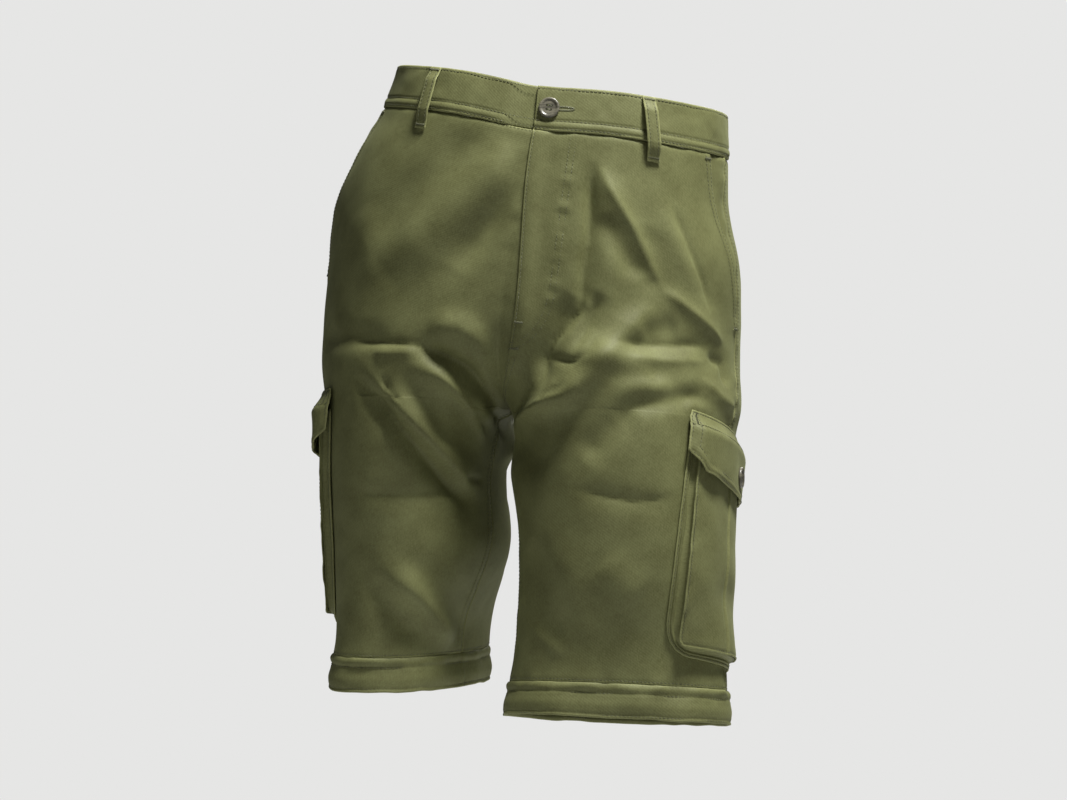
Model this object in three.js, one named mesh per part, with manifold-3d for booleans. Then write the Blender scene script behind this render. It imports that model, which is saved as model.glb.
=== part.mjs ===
// Convertible trousers with the lower legs zipped off, in worn form.
// Millimetres, +Z up, front towards -Y, the wearer's left towards +X.
// The origin is the middle of the waistband ring, where the wearer holds the garment up.

import * as THREE from 'three';
import { mergeVertices } from 'three/addons/utils/BufferGeometryUtils.js';
import Module from 'manifold-3d';

// ---------------------------------------------------------------- sizes

const CLOTH = 1.4;            // thickness of a single panel with its turnings
const BAND = 2.4;             // doubled and interlined waistband
const BAND_HEIGHT = 38;
const BAND_PROUD = 0.6;       // the waistband stands this far outside the panels
const GAP = 0.3;              // clear space left where two pieces are sewn together
const CROTCH = 245;           // waist seam to crotch, straight down
const ZIP_SEAM = 472;         // waist seam to the zip-off seam
const HEM = 502;              // waist seam to the lower edge of the zip cover
const EVEN = 45;              // reach above and below the crotch where columns are evened
const SIDE_SEAM = 0.467;      // share of the girth from the centre front to the side seam
const FLY = { length: 190, lap: 3.5, rise: 1.75 };
const UNDERLAP = { length: 38, clear: 0.4, step: 20 };   // waistband end under the other
const FLY_EDGE = { runout: 11, fade: 16, reach: 13 };   // how the lap dies away below the fly
// Slanted hip pocket opening; its edge stands off the hip most where the hand goes in.
const MOUTH = { share: 0.067, length: 155, gape: 3.2, widest: 96, spread: 40, tuck: 0.45 };
const POCKET_SIDE = { below: 8, flush: 150, rising: 40 };
const LOOP = { width: 11.5, thick: 1.5, below: 17, seat: 0.4, rise: 12 };
const BUTTON = { radius: 9, thick: 3.2, rim: 1.9, dish: 1, hole: 1, pitch: 1.75, lift: 0.5,
  bevel: 0.9, sides: 22 };
const WAIST_BUTTON = { along: 13, drop: -19.5 };   // from the centre front, on the waistband
const CARGO = { front: -66, width: 155, top: 240, height: 196, slope: 0.12, depth: 8.2 };
const SWELL = { rise: 2.4, from: 30, over: 110 };   // the empty pocket's front bows out
const GUSSET = { thick: 1.6, mouth: 18, spread: [6, 10], foot: 0.45, below: 8, corner: 16.5,
  bulge: 1.2 };
const FLAP = { base: 0.9, over: 5, side: 40, middle: 55, chamfer: 24, thick: 1.6, clear: 10.2,
  edge: 4.5, rise: 15, button: 15 };
const PLEAT = { half: 17, rise: 1.4, turn: 1.5 };
const TAPE = { thick: 1.0, inside: 2.0, above: 9, below: 14 };

// Level sections of the worn garment before it is posed.
// drop: below the waist seam; left, right: outer half widths; inner: inner edge, below
// zero where the two halves are one body; front, back: depths; square: corner fullness.
const TRUNK = {
  columns: ['drop', 'left', 'right', 'inner', 'front', 'back', 'square'],
  rows: [
    [-40, 146, 146, -146, -98, 97, 2.30],
    [0, 153, 154, -154, -105, 105, 2.30],
    [40, 159, 170, -158, -110, 112, 2.25],
    [90, 176, 182, -150, -112, 126, 2.25],
    [140, 185, 183, -118, -112, 137, 2.20],
    [190, 189, 183, -62, -112, 138, 2.15],
    [225, 191, 183, -18, -112, 132, 2.10],
    [245, 187, 180, 0, -110, 126, 2.10],
  ],
};
const LEGS = {
  columns: ['drop', 'outer', 'inner', 'front', 'back', 'square'],
  left: [
    [300, 185, 2, -104, 100, 2.10],
    [380, 184, 8, -90, 66, 2.10],
    [450, 188, 5, -70, 46, 2.10],
    [525, 196, -5, -66, 44, 2.10],
  ],
  right: [
    [300, 172, 28, -106, 112, 2.10],
    [380, 163, 26, -97, 100, 2.10],
    [450, 153, 49, -92, 96, 2.10],
    [525, 152, 48, -92, 96, 2.10],
  ],
};

// Worn pose in degrees: the pelvis leans, the left thigh is forward, the right turned out.
// Each turn comes in over a run of drop, and over a distance out from the middle seam.
const LEAN = 9;
const HIP = { x: 88, drop: 165, turnX: 95 };
const FREE = { swing: { from: 90, over: 170, out: 90 }, turn: { from: 200, over: 250, out: 70 } };
const BELOW_CROTCH = { aside: 0.9, held: 0.8, round: 15, reach: 22 };
const POSE = {
  left: { flex: 8, side: -8, turn: 8 },
  right: { flex: -1, side: -8, turn: 20 },
};
const WAIST_DIP = { depth: 5, reach: 45, fade: 120 };

// Main folds. path: distance behind the side seam (less than zero in front) and drop along
// the fold; width and rise in mm. A trough has a rise below zero.
const FOLDS = [
  { side: 'left', path: [[-140, 20], [-165, 120], [-175, 155]], width: 8, rise: -3.5 },
  { side: 'left', path: [[-120, 30], [-145, 120], [-160, 170]], width: 12, rise: 3 },
  { side: 'left', path: [[-175, 140], [-205, 190], [-215, 220]], width: 12, rise: -8 },
  { side: 'left', path: [[-185, 185], [-145, 200], [-110, 210]], width: 15, rise: 7 },
  { side: 'left', path: [[-155, 220], [-115, 210], [-55, 225]], width: 13, rise: -5 },
  { side: 'left', path: [[-185, 220], [-235, 250], [-260, 270]], width: 11, rise: 5 },
  { side: 'left', path: [[-85, 50], [-60, 120], [-55, 170]], width: 14, rise: 3.5 },
  { side: 'left', path: [[-105, 70], [-100, 130]], width: 14, rise: -2.5 },
  { side: 'left', path: [[-155, 315], [-75, 325]], width: 9, rise: -2 },
  { side: 'left', path: [[-260, 300], [-160, 380], [-130, 440]], width: 18, rise: 2.5 },
  { side: 'right', path: [[-110, 230], [-155, 280], [-220, 340]], width: 10, rise: -7.5 },
  { side: 'right', path: [[-140, 235], [-185, 290], [-245, 330]], width: 13, rise: 6 },
  { side: 'right', path: [[-35, 200], [-145, 195]], width: 9, rise: -3 },
  { side: 'right', path: [[-175, 200], [-195, 210], [-245, 230]], width: 9, rise: -5 },
  { side: 'right', path: [[-160, 215], [-220, 235], [-275, 260]], width: 11, rise: 5 },
  { side: 'right', path: [[-235, 230], [-295, 260], [-310, 285]], width: 9, rise: -5 },
  { side: 'right', path: [[-110, 330], [-200, 330]], width: 9, rise: -2 },
  { side: 'right', path: [[-135, 390], [-175, 435], [-205, 465]], width: 14, rise: 4 },
  { side: 'right', path: [[-80, 90], [-125, 150]], width: 20, rise: 2.5 },
  { side: 'left', path: [[285, 230], [255, 260], [160, 280]], width: 12, rise: -6.5 },
  { side: 'left', path: [[300, 260], [225, 300], [140, 320]], width: 13, rise: 5 },
  { side: 'left', path: [[235, 365], [140, 350]], width: 12, rise: -3.5 },
  { side: 'left', path: [[205, 120], [145, 190]], width: 22, rise: 2.5 },
  { side: 'right', path: [[290, 235], [255, 275], [170, 300]], width: 12, rise: -6 },
  { side: 'right', path: [[260, 215], [225, 240], [150, 255]], width: 14, rise: 5 },
  { side: 'right', path: [[205, 395], [105, 375]], width: 13, rise: -3.5 },
  { side: 'right', path: [[215, 90], [170, 170]], width: 22, rise: -2.5 },
];

// Wave of the free lower edge. share: place round the leg, reach in shares, out in mm.
const WAVES_FROM = ZIP_SEAM - 30;
const HEM_WAVES = {
  left: [{ share: 0.12, reach: 0.05, out: 2 }, { share: 0.25, reach: 0.04, out: -2.5 },
    { share: 0.37, reach: 0.05, out: 2 }, { share: 0.72, reach: 0.07, out: 3 }],
  right: [{ share: 0.31, reach: 0.05, out: 7 }, { share: 0.2, reach: 0.05, out: -2 },
    { share: 0.6, reach: 0.06, out: 3 }, { share: 0.8, reach: 0.06, out: -2.5 }],
};

// Belt loops. share: place round the half from the centre front; lean: sideways run in mm.
const LOOPS = [
  { name: 'loop_front_left', side: 'left', share: 0.236, lean: 8, bow: 4.6 },
  { name: 'loop_front_right', side: 'right', share: 0.243, lean: -5, bow: 3.6 },
  { name: 'loop_back_left', side: 'left', share: 0.69, lean: 1, bow: 3.8 },
  { name: 'loop_back_right', side: 'right', share: 0.695, lean: -1, bow: 3.6 },
  { name: 'loop_back_centre', side: 'left', share: 1, lean: 0, bow: 3.8 },
];

const COLOURS = { twill: 0x5f6338, button: 0x4a4136, tape: 0x3c3f26 };

// ---------------------------------------------------------------- small helpers

const rad = THREE.MathUtils.degToRad;
const clamp01 = (t) => Math.min(1, Math.max(0, t));
const ease = (t) => clamp01(t) ** 2 * (3 - 2 * clamp01(t));
const mix = (a, b, t) => a + (b - a) * t;
const other = { left: 'right', right: 'left' };
const sign = { left: 1, right: -1 };
const spread = (n, a, b) => Array.from({ length: n + 1 }, (_, i) => mix(a, b, i / n));

// Smooth curve through the rows of a table, one value for each column after the first.
function readTable(rows, x) {
  const last = rows.length - 1;
  let k = 0;
  while (k < last - 1 && x > rows[k + 1][0]) k += 1;
  const [a, b] = [rows[k], rows[k + 1]];
  const step = b[0] - a[0];
  const t = (x - a[0]) / step;
  return a.slice(1).map((_, c) => {
    const rise = (i) => (rows[i + 1][c + 1] - rows[i][c + 1]) / (rows[i + 1][0] - rows[i][0]);
    const slope = (i) => {
      if (i === 0) return rise(0);
      if (i === last) return rise(last - 1);
      const [before, after] = [rows[i][0] - rows[i - 1][0], rows[i + 1][0] - rows[i][0]];
      return (rise(i) * before + rise(i - 1) * after) / (before + after);
    };
    return (2 * t ** 3 - 3 * t ** 2 + 1) * a[c + 1] + (t ** 3 - 2 * t ** 2 + t) * step * slope(k)
      + (3 * t ** 2 - 2 * t ** 3) * b[c + 1] + (t ** 3 - t ** 2) * step * slope(k + 1);
  });
}

// ---------------------------------------------------------------- the worn surface

// Both halves of the trunk share one outline, stretched sideways, so they meet exactly.
const table = (side) => [
  ...TRUNK.rows.map(([drop, left, right, ...rest]) => {
    const outer = (left + right) / 2;
    return [drop, outer, ...rest, { left, right }[side] / outer];
  }),
  ...LEGS[side].map((row) => [...row, 1]),
];
const TABLES = { left: table('left'), right: table('right') };

// One level section of one half: points from the centre front (or inseam) round the
// outside to the centre back (or inseam), with their running length.
const sections = new Map();
function section(side, drop) {
  const key = `${side} ${drop.toFixed(4)}`;
  if (sections.has(key)) return sections.get(key);
  const [outer, inner, front, back, square, stretch] = readTable(TABLES[side], drop);
  const [cx, rx, cy] = [(outer + inner) / 2, (outer - inner) / 2, (front + back) / 2];
  const power = (v) => Math.sign(v) * Math.abs(v) ** (2 / square);
  let points = spread(360, -Math.PI / 2, 1.5 * Math.PI).map((a) => {
    const [s, c] = [Math.sin(a), Math.cos(a)];
    return [cx + rx * power(s), cy - (c > 0 ? cy - front : back - cy) * power(c)];
  });
  if (drop < CROTCH) {
    const first = points.findIndex(([x]) => x >= 0);
    const end = points.findLastIndex(([x]) => x >= 0);
    const cut = (p, q) => [0, mix(p[1], q[1], p[0] / (p[0] - q[0]))];
    const ends = [[first, first - 1], [end, end + 1]]
      .map(([i, j]) => (points[j] ? [cut(points[i], points[j])] : []));
    points = [...ends[0], ...points.slice(first, end + 1), ...ends[1]];
  }
  points = points.map(([x, y]) => [x * stretch, y]);
  const lengths = [0];
  for (let i = 1; i < points.length; i += 1) {
    const [p, q] = [points[i - 1], points[i]];
    lengths.push(lengths[i - 1] + Math.hypot(q[0] - p[0], q[1] - p[1]));
  }
  const result = { points, lengths, girth: lengths.at(-1) };
  sections.set(key, result);
  return result;
}

const girth = (side, drop) => section(side, drop).girth;
const seamAt = (side, drop) => girth(side, drop) * SIDE_SEAM;

// Girth with the sudden gain at the crotch evened out, so that columns run smoothly past it.
function evenGirth(side, drop) {
  const [above, below] = [CROTCH - EVEN, CROTCH + EVEN];
  if (drop < above || drop > below) return girth(side, drop);
  return mix(girth(side, above), girth(side, below), (drop - above) / (below - above));
}

// Past the centre line the other half goes on; below the crotch the same leg does.
function wrap(side, s, drop) {
  const full = girth(side, drop);
  if (s >= 0 && s <= full) return [side, s];
  if (drop >= CROTCH) return [side, (s + full) % full];
  const twin = other[side];
  return s < 0 ? [twin, -s] : [twin, girth(twin, drop) - (s - full)];
}

function flat(side, s, drop) {
  const { points, lengths } = section(side, drop);
  let [lo, hi] = [0, lengths.length - 1];
  while (hi - lo > 1) {
    const mid = (lo + hi) >> 1;
    if (lengths[mid] <= s) lo = mid; else hi = mid;
  }
  const t = (s - lengths[lo]) / (lengths[hi] - lengths[lo] || 1);
  const [x, y] = [0, 1].map((k) => mix(points[lo][k], points[hi][k], t));
  const dip = y < 0 ? WAIST_DIP.depth * Math.exp(-((x / WAIST_DIP.reach) ** 2)) : 0;
  return [x, y, -drop - dip * ease((WAIST_DIP.fade - drop) / WAIST_DIP.fade)];
}

const turn = (p, q, angle) => [
  p * Math.cos(angle) - q * Math.sin(angle), p * Math.sin(angle) + q * Math.cos(angle)];

function posed(side, [out, forward, up]) {
  const { flex, side: swing, turn: toe } = POSE[side];
  const dir = sign[side];
  const drop = -up;
  const aside = Math.abs(out) + BELOW_CROTCH.aside * Math.max(0, drop - CROTCH);
  const share = ({ from, over, out: far }) => ease((drop - from) / over) * ease(aside / far);
  const free = share(FREE.swing);
  let [x, y, z] = [out * dir, forward, up];
  let moved = turn(x - HIP.turnX * dir, y, rad(toe) * share(FREE.turn) * dir);
  [x, y] = [moved[0] + HIP.turnX * dir, moved[1]];
  moved = turn(y, z + HIP.drop, -rad(flex) * free);
  [y, z] = [moved[0], moved[1] - HIP.drop];
  moved = turn(x - HIP.x * dir, z + HIP.drop, -rad(swing) * free);
  [x, z] = [moved[0] + HIP.x * dir, moved[1] - HIP.drop];
  [x, z] = turn(x, z, -rad(LEAN));
  return new THREE.Vector3(x, y, z);
}

const MIDDLE = posed('left', [0, 0, BAND_HEIGHT / 2]);

function base(side, s, drop) {
  const [half, along] = wrap(side, s, drop);
  return posed(half, flat(half, along, drop)).sub(MIDDLE);
}

function normal(side, s, drop) {
  const across = base(side, s + 1, drop).sub(base(side, s - 1, drop));
  const share = s / girth(side, drop);
  const level = (d) => base(side, share * girth(side, d), d);
  const down = level(drop + 1).sub(level(drop - 1));
  return across.cross(down).normalize().multiplyScalar(-sign[side]);
}

// Height of one fold at a place: a soft ridge or trough, fading out at both ends.
function foldHeight({ path: pts, width, rise }, x, y) {
  const spans = pts.slice(1).map((q, i) => Math.hypot(q[0] - pts[i][0], q[1] - pts[i][1]));
  const total = spans.reduce((a, b) => a + b, 0);
  let best = { away: Infinity, run: 0 };
  let done = 0;
  spans.forEach((span, i) => {
    const [p, q] = [pts[i], pts[i + 1]];
    const t = clamp01(((x - p[0]) * (q[0] - p[0]) + (y - p[1]) * (q[1] - p[1])) / span ** 2);
    const away = Math.hypot(x - mix(p[0], q[0], t), y - mix(p[1], q[1], t));
    if (away < best.away) best = { away, run: (done + t * span) / total };
    done += span;
  });
  const ends = ease(0.25 + best.run * 3) * ease(0.25 + (1 - best.run) * 3);
  return rise * ends * Math.exp(-((best.away / width) ** 2));
}

// All folds at a place. The seam up the middle of the body holds the cloth still.
function folds(side, s, drop) {
  const [half, along] = wrap(side, s, drop);
  const behind = along - seamAt(half, drop);
  const full = girth(half, drop);
  const round = ease((drop - CROTCH) / BELOW_CROTCH.round);
  const [aside] = flat(half, along, drop);
  const away = aside + BELOW_CROTCH.held * Math.max(0, drop - CROTCH);
  const held = ease(away / BELOW_CROTCH.reach);
  const near = FOLDS.filter((f) => f.side === half);
  const sum = (x) => near.reduce((total, f) => total + foldHeight(f, x, drop), 0);
  return held * (sum(behind) + round * (sum(behind - full) + sum(behind + full)));
}

function hemWave(side, s, drop) {
  const share = s / girth(side, drop);
  if (drop < WAVES_FROM) return 0;
  const reach = ease((drop - WAVES_FROM) / (HEM - WAVES_FROM));
  return reach * HEM_WAVES[side].reduce((sum, w) => {
    const away = Math.abs(((share - w.share + 1.5) % 1) - 0.5);
    return sum + w.out * Math.exp(-((away / w.reach) ** 2));
  }, 0);
}

// A point lying a given height outside the folded cloth.
function skin(side, s, drop, height = 0) {
  const out = height + folds(side, s, drop) + hemWave(side, s, drop);
  return base(side, s, drop).addScaledVector(normal(side, s, drop), out);
}

// ---------------------------------------------------------------- solids from grids

// A closed sheet between two grids of points; 'round' joins the last column to the first.
function sheet(outer, inner, round = false) {
  const [columns, rows] = [outer.length, outer[0].length];
  const positions = [...outer.flat(), ...inner.flat()].flatMap((p) => [p.x, p.y, p.z]);
  const at = (layer, i, j) => layer * columns * rows + (i % columns) * rows + j;
  const index = [];
  const quad = (a, b, c, d) => index.push(a, b, c, a, c, d);
  const spans = round ? columns : columns - 1;
  for (let i = 0; i < spans; i += 1) {
    for (let j = 0; j < rows - 1; j += 1) {
      quad(at(0, i, j), at(0, i, j + 1), at(0, i + 1, j + 1), at(0, i + 1, j));
      quad(at(1, i, j), at(1, i + 1, j), at(1, i + 1, j + 1), at(1, i, j + 1));
    }
    quad(at(0, i, 0), at(0, i + 1, 0), at(1, i + 1, 0), at(1, i, 0));
    quad(at(0, i, rows - 1), at(1, i, rows - 1), at(1, i + 1, rows - 1), at(0, i + 1, rows - 1));
  }
  if (!round) {
    const e = columns - 1;
    for (let j = 0; j < rows - 1; j += 1) {
      quad(at(0, 0, j), at(1, 0, j), at(1, 0, j + 1), at(0, 0, j + 1));
      quad(at(0, e, j), at(0, e, j + 1), at(1, e, j + 1), at(1, e, j));
    }
  }
  const geometry = new THREE.BufferGeometry();
  geometry.setAttribute('position', new THREE.Float32BufferAttribute(positions, 3));
  geometry.setIndex(index);
  if (volume(geometry) < 0) geometry.setIndex(turned(index));
  geometry.computeVertexNormals();
  return geometry;
}

function turned(index) {
  const result = [];
  for (let i = 0; i < index.length; i += 3) result.push(index[i], index[i + 2], index[i + 1]);
  return result;
}

function volume(geometry) {
  const [p, index] = [geometry.attributes.position, geometry.index];
  const corner = (k) => new THREE.Vector3().fromBufferAttribute(p, index.getX(k));
  let sum = 0;
  for (let i = 0; i < index.count; i += 3) sum += corner(i).dot(corner(i + 1).cross(corner(i + 2)));
  return sum / 6;
}

// Cloth over a grid of places. Each place gives side, s, drop and the height of its face.
function cloth(places, thick, round = false) {
  const outer = places.map((line) => line.map((p) => skin(p.side, p.s, p.drop, p.height)));
  const inner = places.map((line) => line.map(
    (p) => skin(p.side, p.s, p.drop, p.height - thick),
  ));
  return sheet(outer, inner, round);
}

// ---------------------------------------------------------------- panels

const LEVELS = [GAP / 2, 14, 32, 54, 78, 102, 124, 144, 162, 178, 192, 205, 216, 226, 235,
  241, 244.8, 249, 256, 266, 280, 298, 320, 346, 374, 402, 428, 451, ZIP_SEAM - GAP / 2];

// Columns of a panel: shares of the way from the centre line to the cargo pocket, then
// distances from the side seam that the pocket's own columns fall on.
const CENTRE_SHARES = [0, 0.05, 0.13, 0.23, 0.34, 0.46, 0.58, 0.7, 0.85];
const EDGE_COLUMNS = 3;
const FRONT_EDGES = [-71, -66, -56, -38.5, -19.5, -GAP / 2];
const BACK_EDGES = [GAP / 2, 19.5, 38.5, 57, 79, 89, 94];

// How far the slanted pocket edge is in front of the side seam at a level.
function mouthShift(side, drop) {
  return girth(side, Math.max(0, drop)) * MOUTH.share * clamp01(1 - drop / MOUTH.length);
}

const mouthGape = (drop) => (
  drop < MOUTH.length ? MOUTH.gape * Math.exp(-(((drop - MOUTH.widest) / MOUTH.spread) ** 2)) : 0);

// The left front laps over the right down to the end of the fly, then runs out level.
const flyShare = (side, drop, from) => (
  side === 'left' ? 1 - ease((drop - from) / FLY_EDGE.runout) : 0);
const flyLap = (side, drop) => flyShare(side, drop, FLY.length);

// The first few columns reach the real edge; the others are spaced from the evened one.
function centreColumns(edge, even, inner) {
  const spaced = CENTRE_SHARES.map((f) => mix(even, inner, f));
  const last = spaced[EDGE_COLUMNS];
  return spaced.map((v, i) => (i < EDGE_COLUMNS
    ? mix(edge, last, CENTRE_SHARES[i] / CENTRE_SHARES[EDGE_COLUMNS]) : v));
}

function frontColumns(side, drop) {
  const [seam, cut] = [seamAt(side, drop), mouthShift(side, drop)];
  const [first] = FRONT_EDGES;
  const start = mix(GAP / 2, -FLY.lap, flyLap(side, drop));
  const edges = FRONT_EDGES.map((a) => seam + first + (a - first) * (1 + cut / first));
  const even = seam - evenGirth(side, drop) * SIDE_SEAM + start;
  return [...centreColumns(start, even, edges[0]), ...edges];
}

function backColumns(side, drop) {
  const [seam, end] = [seamAt(side, drop), girth(side, drop) - GAP / 2];
  const edges = BACK_EDGES.map((a) => seam + a);
  const even = seam + evenGirth(side, drop) * (1 - SIDE_SEAM) - GAP / 2;
  return [...edges, ...centreColumns(end, even, edges.at(-1)).reverse()];
}

function frontPlaces(side) {
  return LEVELS.map((drop) => frontColumns(side, drop).map((s, i, all) => {
    const lift = FLY.rise * flyShare(side, drop, FLY.length + FLY_EDGE.fade)
      * ease((FLY_EDGE.fade - s) / FLY_EDGE.reach);
    const near = ease((i - all.length + 4) / 3);
    return { side, s, drop, height: lift + mouthGape(drop) * near };
  }));
}

function backPlaces(side) {
  return LEVELS.map((drop) => backColumns(side, drop).map((s) => ({ side, s, drop, height: 0 })));
}

const panelPoints = Object.fromEntries(['left', 'right'].map((side) => [side, {
  front: frontPlaces(side).map((line) => line.map((p) => skin(p.side, p.s, p.drop, p.height))),
  back: backPlaces(side).map((line) => line.map((p) => skin(p.side, p.s, p.drop, p.height))),
}]));

// A point over the flat facets of a panel, so that what lies on it clears it evenly.
function overPanel(side, s, drop, height) {
  const front = s <= seamAt(side, drop);
  const columns = (front ? frontColumns : backColumns)(side, drop);
  const points = panelPoints[side][front ? 'front' : 'back'];
  const j = Math.max(0, LEVELS.findLastIndex((v, k) => v <= drop && k < LEVELS.length - 1));
  const i = Math.max(0, columns.findLastIndex((v, k) => v <= s && k < columns.length - 1));
  const t = (drop - LEVELS[j]) / (LEVELS[j + 1] - LEVELS[j]);
  const f = (s - columns[i]) / (columns[i + 1] - columns[i]);
  const [a, b, c, d] = [points[j][i], points[j + 1][i], points[j + 1][i + 1], points[j][i + 1]];
  const point = a.clone();
  if (t >= f) point.addScaledVector(b.clone().sub(a), t).addScaledVector(c.clone().sub(b), f);
  else point.addScaledVector(d.clone().sub(a), f).addScaledVector(c.clone().sub(d), t);
  return point.addScaledVector(normal(side, s, drop), height);
}

const overCloth = (places, thick) => sheet(...[0, -thick].map((inset) => places.map(
  (line) => line.map((p) => overPanel(p.side, p.s, p.drop, p.height + inset)))));

// The hip yoke seen through the slanted opening: it tucks under the front panel and
// comes up flush at the side seam.
function pocketSide(side) {
  const under = -(CLOTH + GAP + 0.1);
  const { below, flush, rising } = POCKET_SIDE;
  const places = LEVELS.filter((drop) => drop < MOUTH.length + below).map((drop) => {
    const edges = frontColumns(side, drop);
    const [last, mouth] = [edges.at(-2), edges.at(-1)];
    const [tuck, seam] = [mix(last, mouth, MOUTH.tuck), seamAt(side, drop) - GAP / 2];
    const open = ease((flush - drop) / rising);
    return [tuck, mouth, mix(mouth, seam, 0.35), mix(mouth, seam, 0.7), seam].map((s, i) => ({
      side, s, drop, height: under * (1 - open * ease((i - 1) / 3)) }));
  });
  return cloth(places, CLOTH);
}

// ---------------------------------------------------------------- waistband and loops

function waistband() {
  const levels = [-BAND_HEIGHT, -BAND_HEIGHT * 0.62, -BAND_HEIGHT * 0.3, -GAP / 2];
  const column = (side, s, height) => levels.map((drop) => ({ side, s, drop, height }));
  const around = (side, share) => levels.map((drop) => ({
    side, s: share * girth(side, drop), drop, height: BAND_PROUD }));
  const under = BAND_PROUD - BAND - UNDERLAP.clear;
  const stepIn = (s) => mix(under, BAND_PROUD, ease((s - 8) / UNDERLAP.step));
  const ends = [4, 14, 25, UNDERLAP.length];
  const places = [
    ...[-FLY.lap, ...ends].map((s) => column('left', s, BAND_PROUD)),
    ...spread(21, 0.13, 1).map((u) => around('left', u)),
    ...spread(21, 0.965, 0.1).map((u) => around('right', u)),
    ...[28, 16, 8, 3.5].map((s) => column('right', s, stepIn(s))),
    ...ends.map((s) => column('left', s, under)),
  ];
  return cloth(places, BAND);
}

function beltLoop({ side, share, lean, bow }) {
  const steps = [-37.4, -34, -29, -23, -15, -7, 1, 6, 10, 13.5, LOOP.below];
  const rest = (drop) => (drop < 1 ? BAND_PROUD : 0) + LOOP.seat;
  const middle = (drop) => share * girth(side, drop)
    + lean * ((drop + BAND_HEIGHT) / (BAND_HEIGHT + LOOP.below));
  const places = [-0.5, 0, 0.5].map((t) => steps.map((drop) => {
    const lift = bow * ease((drop + BAND_HEIGHT - 2) / LOOP.rise)
      * ease((LOOP.below - 1.5 - drop) / LOOP.rise);
    return { side, s: middle(drop) + t * LOOP.width, drop,
      height: rest(drop) + lift + LOOP.thick };
  }));
  return cloth(places, LOOP.thick);
}

// ---------------------------------------------------------------- buttons

const wasm = await Module();
wasm.setup();

function toSolid(geometry) {
  geometry.deleteAttribute('normal');
  geometry.deleteAttribute('uv');
  const { attributes, index } = mergeVertices(geometry);
  const triVerts = [];
  for (let i = 0; i < index.count; i += 3) {
    const [a, b, c] = [0, 1, 2].map((k) => index.getX(i + k));
    if (a !== b && b !== c && a !== c) triVerts.push(a, b, c);
  }
  const vertProperties = attributes.position.array;
  return new wasm.Manifold(new wasm.Mesh({
    numProp: 3, vertProperties, triVerts: new Uint32Array(triVerts) }));
}

// A four-hole button with a raised rim, its back on z = 0 and its face towards +Z.
function buttonGeometry() {
  const { radius, thick, rim, dish, hole, pitch, bevel, sides } = BUTTON;
  const profile = [[0, 0], [radius - bevel, 0], [radius, bevel], [radius, thick - bevel],
    [radius - bevel, thick], [radius - rim, thick], [radius - rim - bevel, thick - dish],
    [0, thick - dish]].map(([x, y]) => new THREE.Vector2(x, y));
  let body = toSolid(new THREE.LatheGeometry(profile, sides).rotateX(Math.PI / 2));
  for (const [x, y] of [[1, 1], [-1, 1], [-1, -1], [1, -1]]) {
    const pin = new THREE.CylinderGeometry(hole, hole, 4 * thick, 6).rotateX(Math.PI / 2);
    body = body.subtract(toSolid(pin.translate(x * pitch, y * pitch, 0)));
  }
  const { vertProperties, triVerts } = body.getMesh();
  const geometry = new THREE.BufferGeometry();
  geometry.setAttribute('position', new THREE.BufferAttribute(vertProperties, 3));
  geometry.setIndex([...triVerts]);
  geometry.computeVertexNormals();
  return geometry;
}

// Where a button sits: its middle, the way its face looks, and the way up across it.
function place(mesh, centre, outward, up) {
  const x = up.clone().cross(outward).normalize();
  const y = outward.clone().cross(x).normalize();
  mesh.quaternion.setFromRotationMatrix(new THREE.Matrix4().makeBasis(x, y, outward));
  mesh.position.copy(centre);
}

function waistButtonPlace() {
  const [s, drop] = [WAIST_BUTTON.along, WAIST_BUTTON.drop];
  const outward = normal('left', s, drop);
  const up = base('left', s, drop - 5).sub(base('left', s, drop + 5));
  return [skin('left', s, drop, BAND_PROUD + BUTTON.lift), outward, up];
}

// ---------------------------------------------------------------- cargo pockets

// Place on the leg from pocket sizes: along from the pocket's front edge, down from its
// top edge. The pocket slopes down towards the back.
function onPocket(side, along, down, height) {
  const drop = CARGO.top + down + CARGO.slope * along;
  return { side, s: girth(side, drop) * SIDE_SEAM + CARGO.front + along, drop, height };
}

const CARGO_LEVELS = [GUSSET.mouth, 40, 62, 86, 110, 134, 158, 180, CARGO.height];

const swell = (along, down) => SWELL.rise * Math.sin(Math.PI * clamp01(along / CARGO.width))
  * ease((down - SWELL.from) / SWELL.over);

// Outline of the gusset from the mouth down the front, along the bottom and up the back.
// Each place gives the sewn edge on the leg and the rim that carries the face.
function gussetLine() {
  const { width, height } = CARGO;
  const side = (down) => mix(GUSSET.spread[0], GUSSET.spread[1], ease(down / height));
  const low = height + GUSSET.below;
  const edge = [];
  for (const down of CARGO_LEVELS.slice(0, -1)) {
    edge.push({ foot: [0, down], rim: [side(down), down] });
  }
  edge.push({ foot: [1.5, height], rim: [side(height) + 0.5, height - 5] });
  edge.push({ foot: [10, low], rim: [GUSSET.corner, height - 0.5] });
  const corner = edge.length;
  for (const along of [27.5, 46.5, 66, 85.5, 104.5, 123]) {
    edge.push({ foot: [along, low], rim: [along, height] });
  }
  const back = edge.slice(0, corner).reverse().map(({ foot, rim }) => ({
    foot: [width - foot[0], foot[1]], rim: [width - rim[0], rim[1]] }));
  return [...edge, ...back];
}

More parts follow.
